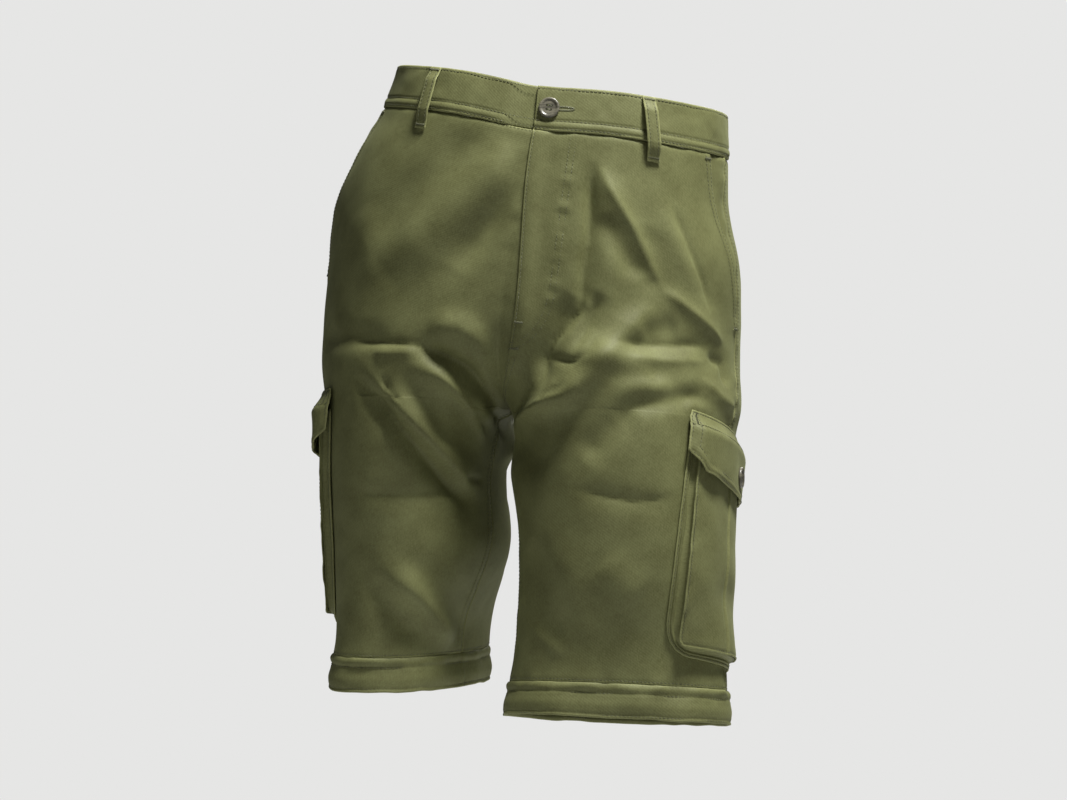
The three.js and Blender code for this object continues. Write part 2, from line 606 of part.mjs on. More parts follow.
function cargoGusset(side) {
  const wall = gussetLine();
  const centre = [CARGO.width / 2, CARGO.height / 2];
  const layer = (inset) => wall.map(({ foot, rim }, i) => {
    const before = wall[Math.max(0, i - 1)].foot;
    const after = wall[Math.min(wall.length - 1, i + 1)].foot;
    let inward = [after[1] - before[1], -(after[0] - before[0])];
    const size = Math.hypot(...inward);
    inward = inward.map((v) => v / size);
    const towards = (centre[0] - foot[0]) * inward[0] + (centre[1] - foot[1]) * inward[1];
    if (towards < 0) inward = inward.map((v) => -v);
    return [0, 0.5, 1].map((t) => {
      const bulge = GUSSET.bulge * Math.sin(Math.PI * t);
      const along = mix(foot[0], rim[0], t) + inward[0] * (inset - bulge);
      const down = mix(foot[1], rim[1], t) + inward[1] * (inset - bulge);
      const height = mix(GUSSET.foot, CARGO.depth + swell(rim[0], rim[1]), t);
      const p = onPocket(side, along, down, height);
      return overPanel(p.side, p.s, p.drop, p.height);
    });
  });
  return sheet(layer(0), layer(GUSSET.thick));
}

function cargoFace(side) {
  const { width, height } = CARGO;
  const half = width / 2;
  const across = (down) => {
    const edge = mix(GUSSET.spread[0], GUSSET.spread[1], ease(down / height)) - 0.4;
    const pleat = [half - PLEAT.half - PLEAT.turn, half - PLEAT.half];
    const left = [edge, GUSSET.corner, 27.5, 46.5, ...pleat];
    const right = [...pleat.reverse(), 50.5, 32, GUSSET.corner, edge].map((v) => width - v);
    return [...left, 66, 85.5, ...right];
  };
  const count = across(0).length;
  const places = Array.from({ length: count }, (_, i) => CARGO_LEVELS.map((down) => {
    const along = across(down)[i];
    const raised = Math.abs(along - half) <= PLEAT.half + 0.01 ? PLEAT.rise : 0;
    const lift = CARGO.depth + 2 * GAP + swell(along, down) + raised + CLOTH;
    return onPocket(side, along, down, lift);
  }));
  return overCloth(places, CLOTH);
}

function flapDepth(along) {
  const width = CARGO.width + 2 * FLAP.over;
  const edge = Math.min(along, width - along);
  return mix(FLAP.side, FLAP.middle, clamp01(edge / FLAP.chamfer));
}

function flapHeight(along, down) {
  const width = CARGO.width + 2 * FLAP.over;
  const edge = Math.min(along, width - along);
  const pocket = FLAP.clear + CLOTH + PLEAT.rise + swell(along, down);
  const sides = ease((edge + 1) / 12);
  return mix(FLAP.base, mix(FLAP.edge, pocket, sides), ease(down / FLAP.rise)) + FLAP.thick;
}

function cargoFlap(side) {
  const width = CARGO.width + 2 * FLAP.over;
  const columns = [0, 5, 15, FLAP.chamfer, 41.5, 62, width / 2];
  const across = [...columns, ...columns.slice(0, -1).reverse().map((v) => width - v)];
  const places = across.map((along) => [0, 0.12, 0.26, 0.45, 0.72, 1].map((t) => {
    const down = t * flapDepth(along);
    return onPocket(side, along - FLAP.over, down, flapHeight(along, down));
  }));
  return overCloth(places, FLAP.thick);
}

function cargoButtonPlace(side) {
  const [along, down] = [CARGO.width / 2 + FLAP.over, FLAP.middle - FLAP.button];
  const lift = flapHeight(along, down) + BUTTON.lift;
  const at = (a, d) => {
    const p = onPocket(side, a - FLAP.over, d, lift);
    return overPanel(p.side, p.s, p.drop, p.height);
  };
  const up = at(along, down - 6).sub(at(along, down + 6));
  const across = at(along + 6, down).sub(at(along - 6, down));
  const outward = across.clone().cross(up).normalize().multiplyScalar(sign[side]);
  return [at(along, down), outward, up];
}

// ---------------------------------------------------------------- zip-off hems

// Columns all round a leg, in line with those of its panels.
function legColumns(side, drop) {
  const front = frontColumns(side, drop).slice(1, -1);
  const back = backColumns(side, drop).slice(1, -1);
  return [0, ...front, seamAt(side, drop), ...back];
}

function legRing(side, levels, height, thick) {
  const places = legColumns(side, ZIP_SEAM).map((_, i) => levels.map((drop) => ({
    side, s: legColumns(side, drop)[i], drop, height })));
  return cloth(places, thick, true);
}

const zipBand = (side) => legRing(
  side, [ZIP_SEAM + GAP / 2, ZIP_SEAM + 8, ZIP_SEAM + 19, HEM], 0, CLOTH);
const zipTape = (side) => legRing(
  side, [ZIP_SEAM - TAPE.above, ZIP_SEAM + 2, ZIP_SEAM + TAPE.below], -TAPE.inside, TAPE.thick);

// ---------------------------------------------------------------- the garment

const material = (color, roughness) => new THREE.MeshStandardMaterial({ color, roughness });

const garment = new THREE.Group();
garment.name = 'convertible_trousers';

function add(name, geometry, color = COLOURS.twill, roughness = 0.9) {
  const mesh = new THREE.Mesh(geometry, material(color, roughness));
  mesh.name = name;
  garment.add(mesh);
  return mesh;
}

const addButton = (name, where) => place(
  add(name, buttonGeometry(), COLOURS.button, 0.45), ...where);

add('waistband', waistband());
addButton('waist_button', waistButtonPlace());
for (const loop of LOOPS) add(loop.name, beltLoop(loop));
for (const side of ['left', 'right']) {
  add(`front_${side}`, cloth(frontPlaces(side), CLOTH));
  add(`back_${side}`, cloth(backPlaces(side), CLOTH));
  add(`pocket_side_${side}`, pocketSide(side));
  add(`cargo_gusset_${side}`, cargoGusset(side));
  add(`cargo_face_${side}`, cargoFace(side));
  add(`cargo_flap_${side}`, cargoFlap(side));
  addButton(`cargo_button_${side}`, cargoButtonPlace(side));
  add(`zip_band_${side}`, zipBand(side));
  add(`zip_tape_${side}`, zipTape(side), COLOURS.tape, 0.8);
}

export default garment;
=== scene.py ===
"""Convertible trousers with the lower legs zipped off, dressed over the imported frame.

Lengths in the shape code are millimetres and are turned to metres when a mesh is made.
The front looks towards -Y and the wearer's left is +X.
"""

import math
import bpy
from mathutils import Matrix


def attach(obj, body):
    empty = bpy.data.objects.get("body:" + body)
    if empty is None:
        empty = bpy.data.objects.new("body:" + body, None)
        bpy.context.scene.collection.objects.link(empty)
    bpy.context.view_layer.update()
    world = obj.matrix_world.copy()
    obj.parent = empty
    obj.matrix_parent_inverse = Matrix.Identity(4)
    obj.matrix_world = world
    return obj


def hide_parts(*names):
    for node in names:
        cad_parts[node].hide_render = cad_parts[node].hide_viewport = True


bl_info = {
    "name": "Convertible Trousers",
    "version": (1, 0, 0),
    "blender": (4, 5, 0),
    "location": "View3D > Sidebar > Trousers",
    "description": "Builds worn olive twill cargo trousers with the lower legs zipped off",
    "category": "Object",
}

import bpy
import numpy as np
from mathutils import Matrix, Vector

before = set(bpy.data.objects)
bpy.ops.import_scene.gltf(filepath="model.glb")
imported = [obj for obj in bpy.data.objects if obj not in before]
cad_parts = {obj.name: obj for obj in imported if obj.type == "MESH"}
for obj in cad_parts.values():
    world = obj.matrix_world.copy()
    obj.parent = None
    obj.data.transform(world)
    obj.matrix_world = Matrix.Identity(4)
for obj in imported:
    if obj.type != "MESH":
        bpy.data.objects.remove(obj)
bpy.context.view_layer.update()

# ---------- sizes of the cut

# Places on the cloth are read as s, the distance round a half from its centre front, and drop,
# the distance below the waist seam. A height stands out from the worn form.

CLOTH = 1.4                   # thickness of a panel with its turnings
BAND_HEIGHT = 38.0
BAND = 2.4                    # the doubled and interlined waistband
BAND_PROUD = 0.6              # how far the band stands outside the panels
CROTCH = 245.0
ZIP_SEAM = 472.0
HEM = 502.0
EVEN = 45.0                   # reach above and below the crotch where columns are evened
SIDE_SEAM = 0.467             # share of the girth from the centre front to the side seam
FRONT_FIRST = -71.0           # from the side seam to the front's column ahead of the pocket
BACK_LAST = 94.0              # from the side seam to the back's column behind the pocket
FRONT_WIDTH, BACK_WIDTH = 201, 240      # widths that the columns of points are spaced over
HEM_ROW = 2.2                 # row of stitching above the zip-off seam
# The fly edge hangs from top at the waist to swing lower down; under is the other half's lap.
FLY = {"length": 190, "lap": 3.5, "rise": 1.75, "runout": 11, "fade": 16, "reach": 13,
       "top": 2.4, "swing": 13, "under": 2.0, "row": 2.2, "tacks": (168, 190)}
# The J of stitching: s of its long row, how far the row leans, drop and depth of the bend, and
# distance of the two rows from its middle.
J_STITCH = {"s": 42.0, "lean": 4, "bend": 136, "end_s": 12, "deep": 52, "half": 2.5,
            "pucker": 5.5}
UNDERLAP = {"length": 38, "clear": 0.4, "step": 20}
MOUTH = {"share": 0.067, "length": 155, "gape": 3.2, "widest": 96, "spread": 40, "tuck": 0.45,
         "ahead": 56}
POCKET_SIDE = {"above": 4.0, "below": 8, "ahead": -19.5, "flush": 150, "rising": 40,
               "behind_band": -2.1}
LOOP = {"width": 11.5, "thick": 1.5, "below": 17, "seat": 0.4, "rise": 12, "row": 2.4}
WAIST_BUTTON = {"along": 13, "drop": -19.5}
BUTTON = {"thick": 2.9, "bevel": 0.9, "rim": 1.9, "dish": 0.7, "pitch": 1.75, "turns": 72}
BUTTONHOLE = {"from_button": 9.5, "half": 11.5, "wide": 1.5, "pitch": 0.62, "bite": 2.3,
              "thread": 0.3}
CARGO = {"front": -66, "width": 155, "top": 240, "height": 196, "slope": 0.12, "depth": 8.2}
SWELL = {"rise": 2.4, "start": 30, "over": 110}
SETTLED = {"flatter": 4.2, "over": 55, "dent": 4.0, "along": 66, "down": 150, "wide": 26,
           "tall": 20}
GUSSET = {"mouth": 18, "spread": (6, 10), "below": 8, "cloth": 1.3, "flange": 3.4,
          "foot": 2.8, "seated": 0.9}
FACE = {"inset": 0.4, "corner": 7, "row_in": 0.6, "hem": 11}
FLAP = {"base": 0.9, "over": 5, "thick": 1.6, "clear": 10.2, "edge": 4.5, "ramp": 19,
        "button": 40, "rows": (1.6, 7.0), "top_rows": (2.0, 13.0)}
FLAP_WIDTH = CARGO["width"] + 2 * FLAP["over"]
# Places on half of the flap's lower edge: from its side, down from its top.
FLAP_EDGE = ((0.0, 35.0), (16.0, 51.0), (FLAP_WIDTH / 2, 60.0))
PLEAT = {"half": 17, "rise": 1.4}
TAPE = {"thick": 1.0, "inside": 2.0, "above": 9, "below": 14}
# Rows of stitching on the band: drop, and how deep the thread lies below the band's face.
BAND_ROWS = ((2.4 - BAND_HEIGHT, 0.05), (-8.8, 0.35), (-2.05, 0.1))
ZIP_ROWS = (8.6, 27.0)        # rows of stitching below the zip-off seam

# Level sections of the worn garment: drop, outer half widths left and right, inner edge,
# front, back, corner fullness. Those of a leg have one outer width.
TRUNK = (
    (-40, 146, 146, -146, -98, 97, 2.30),
    (0, 153, 154, -154, -105, 105, 2.30),
    (40, 159, 170, -158, -110, 112, 2.25),
    (90, 176, 182, -150, -112, 126, 2.25),
    (140, 185, 183, -118, -112, 137, 2.20),
    (190, 189, 183, -62, -112, 138, 2.15),
    (225, 191, 183, -18, -112, 132, 2.10),
    (245, 187, 180, 0, -110, 126, 2.10),
)
LEGS = {
    "left": (
        (300, 185, 2, -104, 100, 2.10),
        (380, 184, 8, -90, 66, 2.10),
        (450, 188, 5, -70, 46, 2.10),
        (525, 196, -5, -66, 44, 2.10),
    ),
    "right": (
        (300, 172, 28, -106, 112, 2.10),
        (380, 163, 26, -97, 100, 2.10),
        (450, 153, 49, -92, 96, 2.10),
        (525, 152, 48, -92, 96, 2.10),
    ),
}
LEAN = 9.0                    # degrees that the whole garment leans to the wearer's left
HIP = {"x": 88, "drop": 165, "turn_x": 95}
SWING_IN = (90, 170, 90)      # drop it starts at, drop it takes, distance out from the seam
TURN_IN = (200, 250, 70)
POSE = {"left": (8, -8, 8), "right": (-1, -8, 20)}    # flexed, swung sideways, turned out
WAIST_DIP = {"depth": 5, "reach": 45, "fade": 120}
SIGN = {"left": 1.0, "right": -1.0}
OTHER = {"left": "right", "right": "left"}
SIDES = ("left", "right")

# Main folds: width, rise, then points as (distance behind the side seam, drop).
FOLDS = {
    "left": (
        (8, -3.5, (-140, 20), (-165, 120), (-175, 155)),
        (12, 3, (-120, 30), (-145, 120), (-160, 170)),
        (12, -8, (-175, 140), (-205, 190), (-215, 220)),
        (15, 7, (-185, 185), (-145, 200), (-110, 210)),
        (13, -5, (-155, 220), (-115, 210), (-55, 225)),
        (11, 5, (-185, 220), (-235, 250), (-260, 270)),
        (14, 3.5, (-85, 50), (-60, 120), (-55, 170)),
        (14, -2.5, (-105, 70), (-100, 130)),
        (9, -2, (-155, 315), (-75, 325)),
        (18, 2.5, (-260, 300), (-160, 380), (-130, 440)),
        (12, -6.5, (285, 230), (255, 260), (160, 280)),
        (13, 5, (300, 260), (225, 300), (140, 320)),
        (12, -3.5, (235, 365), (140, 350)),
        (22, 2.5, (205, 120), (145, 190)),
    ),
    "right": (
        (10, -7.5, (-110, 230), (-155, 280), (-220, 340)),
        (13, 6, (-140, 235), (-185, 290), (-245, 330)),
        (9, -3, (-35, 200), (-145, 195)),
        (9, -5, (-175, 200), (-195, 210), (-245, 230)),
        (11, 5, (-160, 215), (-220, 235), (-275, 260)),
        (9, -5, (-235, 230), (-295, 260), (-310, 285)),
        (9, -2, (-110, 330), (-200, 330)),
        (14, 4, (-135, 390), (-175, 435), (-205, 465)),
        (20, 2.5, (-80, 90), (-125, 150)),
        (12, -6, (290, 235), (255, 275), (170, 300)),
        (14, 5, (260, 215), (225, 240), (150, 255)),
        (13, -3.5, (205, 395), (105, 375)),
        (22, -2.5, (215, 90), (170, 170)),
    ),
}

# Sharper creases inside and between the folds, in the same columns.
CREASES = {
    "left": (
        (5, -4, (-140, 28), (-155, 72), (-167, 110), (-172, 145)),
        (4.5, -4.5, (-169, 134), (-172, 152), (-184, 168), (-196, 181), (-205, 197), (-209, 228)),
        (5, 2.5, (-162, 138), (-176, 166), (-190, 186)),
        (9, -5.5, (-153, 134), (-165, 162), (-175, 184), (-181, 196)),
        (6, -3.5, (-206, 197), (-193, 198), (-180, 202), (-168, 194), (-158, 176)),
        (12, 7, (-106, 142), (-131, 166), (-149, 190), (-164, 212), (-184, 229), (-209, 233)),
        (13, 2.5, (-168, 226), (-190, 234), (-212, 238)),
        (9, -4.5, (-146, 182), (-114, 180), (-90, 177), (-56, 172)),
        (14, -3.5, (-122, 168), (-84, 160)),
        (9, 3.5, (-135, 196), (-100, 195), (-60, 189)),
        (12, 4.5, (-152, 222), (-115, 222), (-62, 213)),
        (12, -4.5, (-142, 248), (-117, 238), (-82, 228), (-50, 236)),
        (8, 4, (-138, 26), (-128, 50), (-118, 75), (-108, 104), (-98, 125)),
        (12, -4, (-142, 66), (-132, 92), (-118, 118)),
        (9, 4.5, (-98, 124), (-77, 138), (-58, 152), (-30, 168)),
        (10, -5, (-75, 50), (-68, 84), (-57, 112), (-49, 140)),
        (3.5, 3.2, (-194, 228), (-212, 236), (-238, 253)),
        (4, -3.5, (-186, 222), (-206, 228)),
        (6, -4.5, (-225, 232), (-250, 250)),
        (14, -4.5, (-158, 288), (-140, 264), (-118, 248)),
        (14, -5, (-250, 262), (-220, 280), (-194, 296)),
        (9, -4.5, (-54, 182), (-30, 188), (-23, 212)),
        (8, 3.5, (-64, 208), (-38, 222), (0, 230)),
        (16, 3, (-130, 372), (-92, 404)),
        (18, -3, (-200, 350), (-180, 400), (-150, 440)),
        (2.5, -1.2, (-60, 314), (-110, 322), (-160, 313)),
        (8, 2.4, (-185, 428), (-150, 450)),
        (12, -4, (60, 95), (105, 130), (150, 150)),
        (8, -6, (150, 205), (215, 215), (262, 222)),
        (9, 5, (160, 225), (220, 240), (262, 236)),
        (7, -4.5, (120, 300), (190, 330), (240, 345)),
        (9, 4, (125, 318), (190, 350)),
        (12, 4, (110, 420), (170, 450)),
    ),
    "right": (
        (3.5, -4.5, (-115, 231), (-130, 248), (-158, 280), (-198, 320), (-218, 337)),
        (6, 4, (-128, 226), (-150, 256), (-185, 292), (-232, 334)),
        (4, -3, (-140, 228), (-146, 250)),
        (4, -3.2, (-105, 200), (-132, 200), (-175, 200)),
        (7, 3.6, (-130, 209), (-172, 206)),
        (12, 5, (-178, 184), (-205, 180), (-228, 190), (-250, 212)),
        (7, -7.5, (-174, 202), (-200, 209), (-222, 216), (-242, 229), (-262, 244)),
        (7, 5, (-184, 218), (-198, 226), (-212, 240), (-228, 258), (-250, 284)),
        (7, -7, (-240, 230), (-262, 240), (-275, 262)),
        (4, 3, (-238, 238), (-244, 264)),
        (5, -3, (-212, 314), (-246, 320)),
        (12, 5, (-139, 396), (-161, 416), (-202, 462)),
        (12, -4, (-120, 400), (-140, 430), (-160, 460)),
        (26, 6, (-198, 10), (-190, 50), (-162, 100), (-128, 142)),
        (20, -3, (-160, 10), (-140, 48), (-116, 90), (-96, 120)),
        (14, -6, (-222, 20), (-212, 80), (-190, 132)),
        (2.5, -1.2, (-110, 328), (-150, 331), (-190, 328)),
        (12, -4, (55, 80), (95, 125), (140, 160)),
        (8, -6, (140, 215), (205, 208), (250, 225)),
        (9, 5, (150, 240), (215, 228), (255, 246)),
        (7, -4.5, (115, 330), (180, 318), (235, 338)),
        (9, 4, (120, 352), (185, 336)),
        (12, 4, (105, 440), (165, 415)),
    ),
}

# Fullness where the inner thighs rub below the crotch.
INNER = {
    "left": (),
    "right": (
        (28, 9, (232, 232), (229, 312)),
        (20, 7, (260, 258), (250, 302)),
    ),
}

# Wave of the free lower edge: share round the leg, reach in shares, distance out.
HEM_WAVES = {
    "left": ((0.12, 0.05, 2), (0.25, 0.04, -2.5), (0.37, 0.05, 2), (0.72, 0.07, 3)),
    "right": ((0.31, 0.05, 7), (0.2, 0.05, -2), (0.6, 0.06, 3), (0.8, 0.06, -2.5)),
}
WAVES_FROM = ZIP_SEAM - 30

# Belt loops: node, half, share of the girth, sideways lean, bow.
LOOPS = (
    ("loop_front_left", "left", 0.236, 8, 4.6),
    ("loop_front_right", "right", 0.243, -5, 3.6),
    ("loop_back_left", "left", 0.69, 1, 3.8),
    ("loop_back_right", "right", 0.695, -1, 3.6),
    ("loop_back_centre", "left", 1.0, 0, 3.8),
)

# Slow unevenness of worn cloth: rise, length round, length down, seed.
UNEVEN = {
    "leg": ((0.22, 34, 46, 3), (0.2, 13, 19, 5)),
    "band": ((0.3, 10, 9, 1), (0.6, 26, 16, 2)),
    "face": ((0.35, 11, 16, 7),),
}
# Ridges and sunk rows beside an edge: distance from it, width, rise.
BAND_RIDGES = {"top": ((2.4, 0.9, -0.35),), "end": ((2.4, 0.9, -0.3),),
               "foot": ((8.6, 0.9, -0.8), (4.8, 2.6, 0.55), (1.9, 0.9, -0.5), (0, 1.1, 0.5))}
HEM_RIDGES = {"top": ((3.4, 2.8, 1.3), (8.5, 0.9, -0.9)), "foot": ((11, 6, 1.2), (3, 0.9, -0.6))}
# Puckers: rise, wave along the seam, reach on both sides of it, seed.
PUCKERS = {
    "side_seam": (1.3, 9, 10, 1),
    "centre": (0.45, 9, 9, 4),
    "mouth": (0.4, 10, 8, 9),
}

# ---------- the worn surface


def ease(t):
    """Goes smoothly from 0 to 1."""
    t = np.clip(t, 0.0, 1.0)
    return t * t * (3 - 2 * t)


def mix(a, b, t):
    return a + (b - a) * t


def together(*values):
    """The values as arrays of floats of one shape."""
    return np.broadcast_arrays(*(np.asarray(v, float) for v in values))


def bell(x, reach):
    """1 where x is 0, dying away within about the reach."""
    return np.exp(-((x / reach) ** 2))


def read_rows(rows, x):
    """Smooth curve through the rows of a table, a line of values for each x."""
    rows = np.asarray(rows, float)
    at, values = rows[:, 0], rows[:, 1:]
    rise = np.diff(values, axis=0) / np.diff(at)[:, None]
    slope = np.empty_like(values)
    before, after = np.diff(at)[:-1, None], np.diff(at)[1:, None]
    slope[0], slope[-1] = rise[0], rise[-1]
    slope[1:-1] = (rise[1:] * before + rise[:-1] * after) / (before + after)
    k = np.clip(np.searchsorted(at, x, side="left") - 1, 0, len(at) - 2)
    step = (at[k + 1] - at[k])[:, None]
    t = (x - at[k])[:, None] / step
    return ((2 * t**3 - 3 * t**2 + 1) * values[k] + (t**3 - 2 * t**2 + t) * step * slope[k]
            + (3 * t**2 - 2 * t**3) * values[k + 1] + (t**3 - t**2) * step * slope[k + 1])


DROPS = np.unique(np.round(np.concatenate([
    np.arange(-46, 540, 1.0), np.arange(CROTCH - 12, CROTCH + 6, 0.25)]), 3))
COLUMNS = 900


def section_table(side):
    """The trunk's rows, which both halves share, and then this leg's."""
    rows = []
    for drop, left, right, *rest in TRUNK:
        outer = (left + right) / 2
        rows.append((drop, outer, *rest, {"left": left, "right": right}[side] / outer))
    rows += [(*row, 1.0) for row in LEGS[side]]
    return rows


def make_half(side):
    """Level sections of one half at every drop, as x and y at even shares of the girth."""
    angle = np.linspace(-math.pi / 2, 1.5 * math.pi, 361)
    sine, cosine = np.sin(angle), np.cos(angle)
    xs, ys, girths = [], [], []
    for drop, row in zip(DROPS, read_rows(section_table(side), DROPS)):
        outer, inner, front, back, square, stretch = row
        middle, radius, centre = (outer + inner) / 2, (outer - inner) / 2, (front + back) / 2
        x = middle + radius * np.sign(sine) * np.abs(sine) ** (2 / square)
        depth = np.where(cosine > 0, centre - front, back - centre)
        y = centre - depth * np.sign(cosine) * np.abs(cosine) ** (2 / square)
        if drop < CROTCH:
            kept = np.nonzero(x >= 0)[0]
            first, last = kept[0], kept[-1]
            px, py = list(x[first:last + 1]), list(y[first:last + 1])
            if first > 0:
                f = x[first] / (x[first] - x[first - 1])
                px.insert(0, 0.0)
                py.insert(0, mix(y[first], y[first - 1], f))
            if last < len(x) - 1:
                f = x[last] / (x[last] - x[last + 1])
                px.append(0.0)
                py.append(mix(y[last], y[last + 1], f))
            x, y = np.array(px), np.array(py)
        x = x * stretch
        length = np.concatenate([[0], np.cumsum(np.hypot(np.diff(x), np.diff(y)))])
        even = np.linspace(0, length[-1], COLUMNS + 1)
        xs.append(np.interp(even, length, x))
        ys.append(np.interp(even, length, y))
        girths.append(length[-1])
    return {"x": np.array(xs), "y": np.array(ys), "girth": np.array(girths)}


HALF = {side: make_half(side) for side in SIDES}


def girth(side, drop):
    """Length round a half at a drop."""
    return np.interp(drop, DROPS, HALF[side]["girth"])


def seam_at(side, drop):
    return girth(side, drop) * SIDE_SEAM


def even_girth(side, drop):
    """Girth with the sudden gain at the crotch evened out."""
    above, below = CROTCH - EVEN, CROTCH + EVEN
    ramp = mix(girth(side, above), girth(side, below), (drop - above) / (below - above))
    return np.where((drop < above) | (drop > below), girth(side, drop), ramp)


def flat(side, s, drop):
    """Distance out, distance back and height, before the pose."""
    half = HALF[side]
    k = np.clip(np.searchsorted(DROPS, drop) - 1, 0, len(DROPS) - 2)
    t = (drop - DROPS[k]) / (DROPS[k + 1] - DROPS[k])
    u = np.clip(s / girth(side, drop), 0, 1) * COLUMNS
    j = np.clip(np.floor(u).astype(int), 0, COLUMNS - 1)
    f = u - j
    x, y = (mix(mix(half[c][k, j], half[c][k, j + 1], f),
                mix(half[c][k + 1, j], half[c][k + 1, j + 1], f), t) for c in "xy")
    dip = np.where(y < 0, WAIST_DIP["depth"] * bell(x, WAIST_DIP["reach"]), 0)
    return x, y, -drop - dip * ease((WAIST_DIP["fade"] - drop) / WAIST_DIP["fade"])


def turned(p, q, angle):
    return p * np.cos(angle) - q * np.sin(angle), p * np.sin(angle) + q * np.cos(angle)


def posed(side, out, forward, up):
    """A place of the level form once the leg and the whole garment are turned."""
    flex, swing, toe = (math.radians(v) for v in POSE[side])
    way, drop = SIGN[side], -up
    aside = np.abs(out) + 0.9 * np.maximum(0, drop - CROTCH)

    def share(run):
        return ease((drop - run[0]) / run[1]) * ease(aside / run[2])

    free = share(SWING_IN)
    x, y = turned(out * way - HIP["turn_x"] * way, forward, toe * share(TURN_IN) * way)
    x = x + HIP["turn_x"] * way
    y, z = turned(y, up + HIP["drop"], -flex * free)
    x, z = turned(x - HIP["x"] * way, z, -swing * free)
    x, z = turned(x + HIP["x"] * way, z - HIP["drop"], -math.radians(LEAN))
    return np.stack([x, y, z], axis=-1)


MIDDLE = posed("left", np.array(0.0), np.array(0.0), np.array(BAND_HEIGHT / 2))


def wrap(side, s, drop):
    """Where a place past the end of a half lies: its own half or the other, and s there."""
    full = girth(side, drop)
    twin_full = girth(OTHER[side], drop)
    low = drop >= CROTCH
    own = low | ((s >= 0) & (s <= full))
    s_own = np.where(low, np.mod(s, full), np.clip(s, 0, full))
    s_twin = np.where(s < 0, -s, twin_full - (s - full))
    return own, s_own, s_twin


def base(side, s, drop):
    """A point on the worn form without its folds."""
    s, drop = together(s, drop)
    own, s_own, s_twin = wrap(side, s, drop)
    here = posed(side, *flat(side, s_own, drop))
    if not own.all():
        there = posed(OTHER[side], *flat(OTHER[side], s_twin, drop))
        here = np.where(own[..., None], here, there)
    return here - MIDDLE


def normal(side, s, drop, step=1.0):
    """Direction outwards on the worn form."""
    s, drop = together(s, drop)
    across = base(side, s + step, drop) - base(side, s - step, drop)
    behind = s - seam_at(side, drop)
    down = (base(side, behind + seam_at(side, drop + step), drop + step)
            - base(side, behind + seam_at(side, drop - step), drop - step))
    n = np.cross(across, down)
    return -SIGN[side] * n / np.linalg.norm(n, axis=-1, keepdims=True)


def along_path(points, x, y):
    """Distance of places from a path, and how far along it the nearest point is."""
    points = np.asarray(points, float)
    spans = np.hypot(*np.diff(points, axis=0).T)
    best, run, done = np.full(x.shape, np.inf), np.zeros(x.shape), 0.0
    for (px, py), (qx, qy), span in zip(points[:-1], points[1:], spans):
        t = np.clip(((x - px) * (qx - px) + (y - py) * (qy - py)) / span**2, 0, 1)
        away = np.hypot(x - mix(px, qx, t), y - mix(py, qy, t))
        nearer = away < best
        best = np.where(nearer, away, best)
        run = np.where(nearer, (done + t * span) / spans.sum(), run)
        done += span
    return best, run


def fold_sum(rows, x, y, crisp):
    """Sum of some folds; narrow crisp ones have a line along their crest or foot."""
    total = np.zeros(x.shape)
    for width, rise, *path in rows:
        away, run = along_path(path, x, y)
        ends = ease(0.25 + run * 3) * ease(0.25 + (1 - run) * 3)
        shape = (away / width) ** 2
        total += rise * ends * (np.exp(0.25 - np.sqrt(2.2 * shape + 0.0625))
                                if crisp and width < 12 else np.exp(-shape))
    return total


def folds_on(table, side, s, drop, crisp=False):
    """Height of a half's folds, which run on round the leg below the crotch."""
    rows, full = table[side], girth(side, drop)
    behind = s - full * SIDE_SEAM
    around = ease((drop - CROTCH) / 15)
    aside, _, _ = flat(side, s, drop)
    held = ease((aside + 0.8 * np.maximum(0, drop - CROTCH)) / 22)
    twin = (fold_sum(rows, behind - full, drop, crisp)
            + fold_sum(rows, behind + full, drop, crisp))
    return held * (fold_sum(rows, behind, drop, crisp) + around * twin)


def by_half(function, side, s, drop):
    """Value of a function of (half, s, drop), read on the half that a place wraps to."""
    s, drop = together(s, drop)
    own, s_own, s_twin = wrap(side, s, drop)
    here = function(side, s_own, drop)
    if own.all():
        return here
    return np.where(own, here, function(OTHER[side], s_twin, drop))


def hem_wave(side, s, drop):
    share = s / girth(side, drop)
    total = np.zeros(np.shape(share))
    for place, reach, out in HEM_WAVES[side]:
        away = np.abs(np.mod(share - place + 1.5, 1) - 0.5)
        total = total + out * bell(away, reach)
    return total * ease((drop - WAVES_FROM) / (HEM - WAVES_FROM))


def fold_form(side, s, drop):
    return folds_on(FOLDS, side, s, drop) + hem_wave(side, s, drop)


def skin(side, s, drop, height=0.0):
    """A point a given height outside the folded cloth."""
    out = height + by_half(fold_form, side, s, drop)
    return base(side, s, drop) + normal(side, s, drop) * out[..., None]


# ---------- small relief of the cloth

_lattice = np.random.default_rng(11).uniform(-1, 1, (97, 97))


def noise(x, y, seed=0):
    """Smooth noise from -1 to 1 with one change for each unit of x and y."""
    x, y = x + 13.7 * seed, y + 7.3 * seed
    i, j = np.floor(x).astype(int), np.floor(y).astype(int)
    f, g = ease(x - i), ease(y - j)
    a, b = _lattice[i % 97, j % 97], _lattice[(i + 1) % 97, j % 97]
    c, d = _lattice[i % 97, (j + 1) % 97], _lattice[(i + 1) % 97, (j + 1) % 97]
    return mix(mix(a, b, f), mix(c, d, f), g)


def uneven(key, x, y):
    """Height of a piece's slow unevenness."""
    return sum(rise * noise(x / length, y / down, seed)
               for rise, length, down, seed in UNEVEN[key])


def ridges(away, rows):
    """Height of the ridges and sunk rows at a distance from an edge."""
    return sum(rise * bell(away - at, wide) for at, wide, rise in rows)


def pucker(along, away, wave, reach, seed):
    """Ripples across a seam that die out on both sides of it."""
    return noise(along / wave, away / (reach * 2.5), seed) * bell(away, reach)


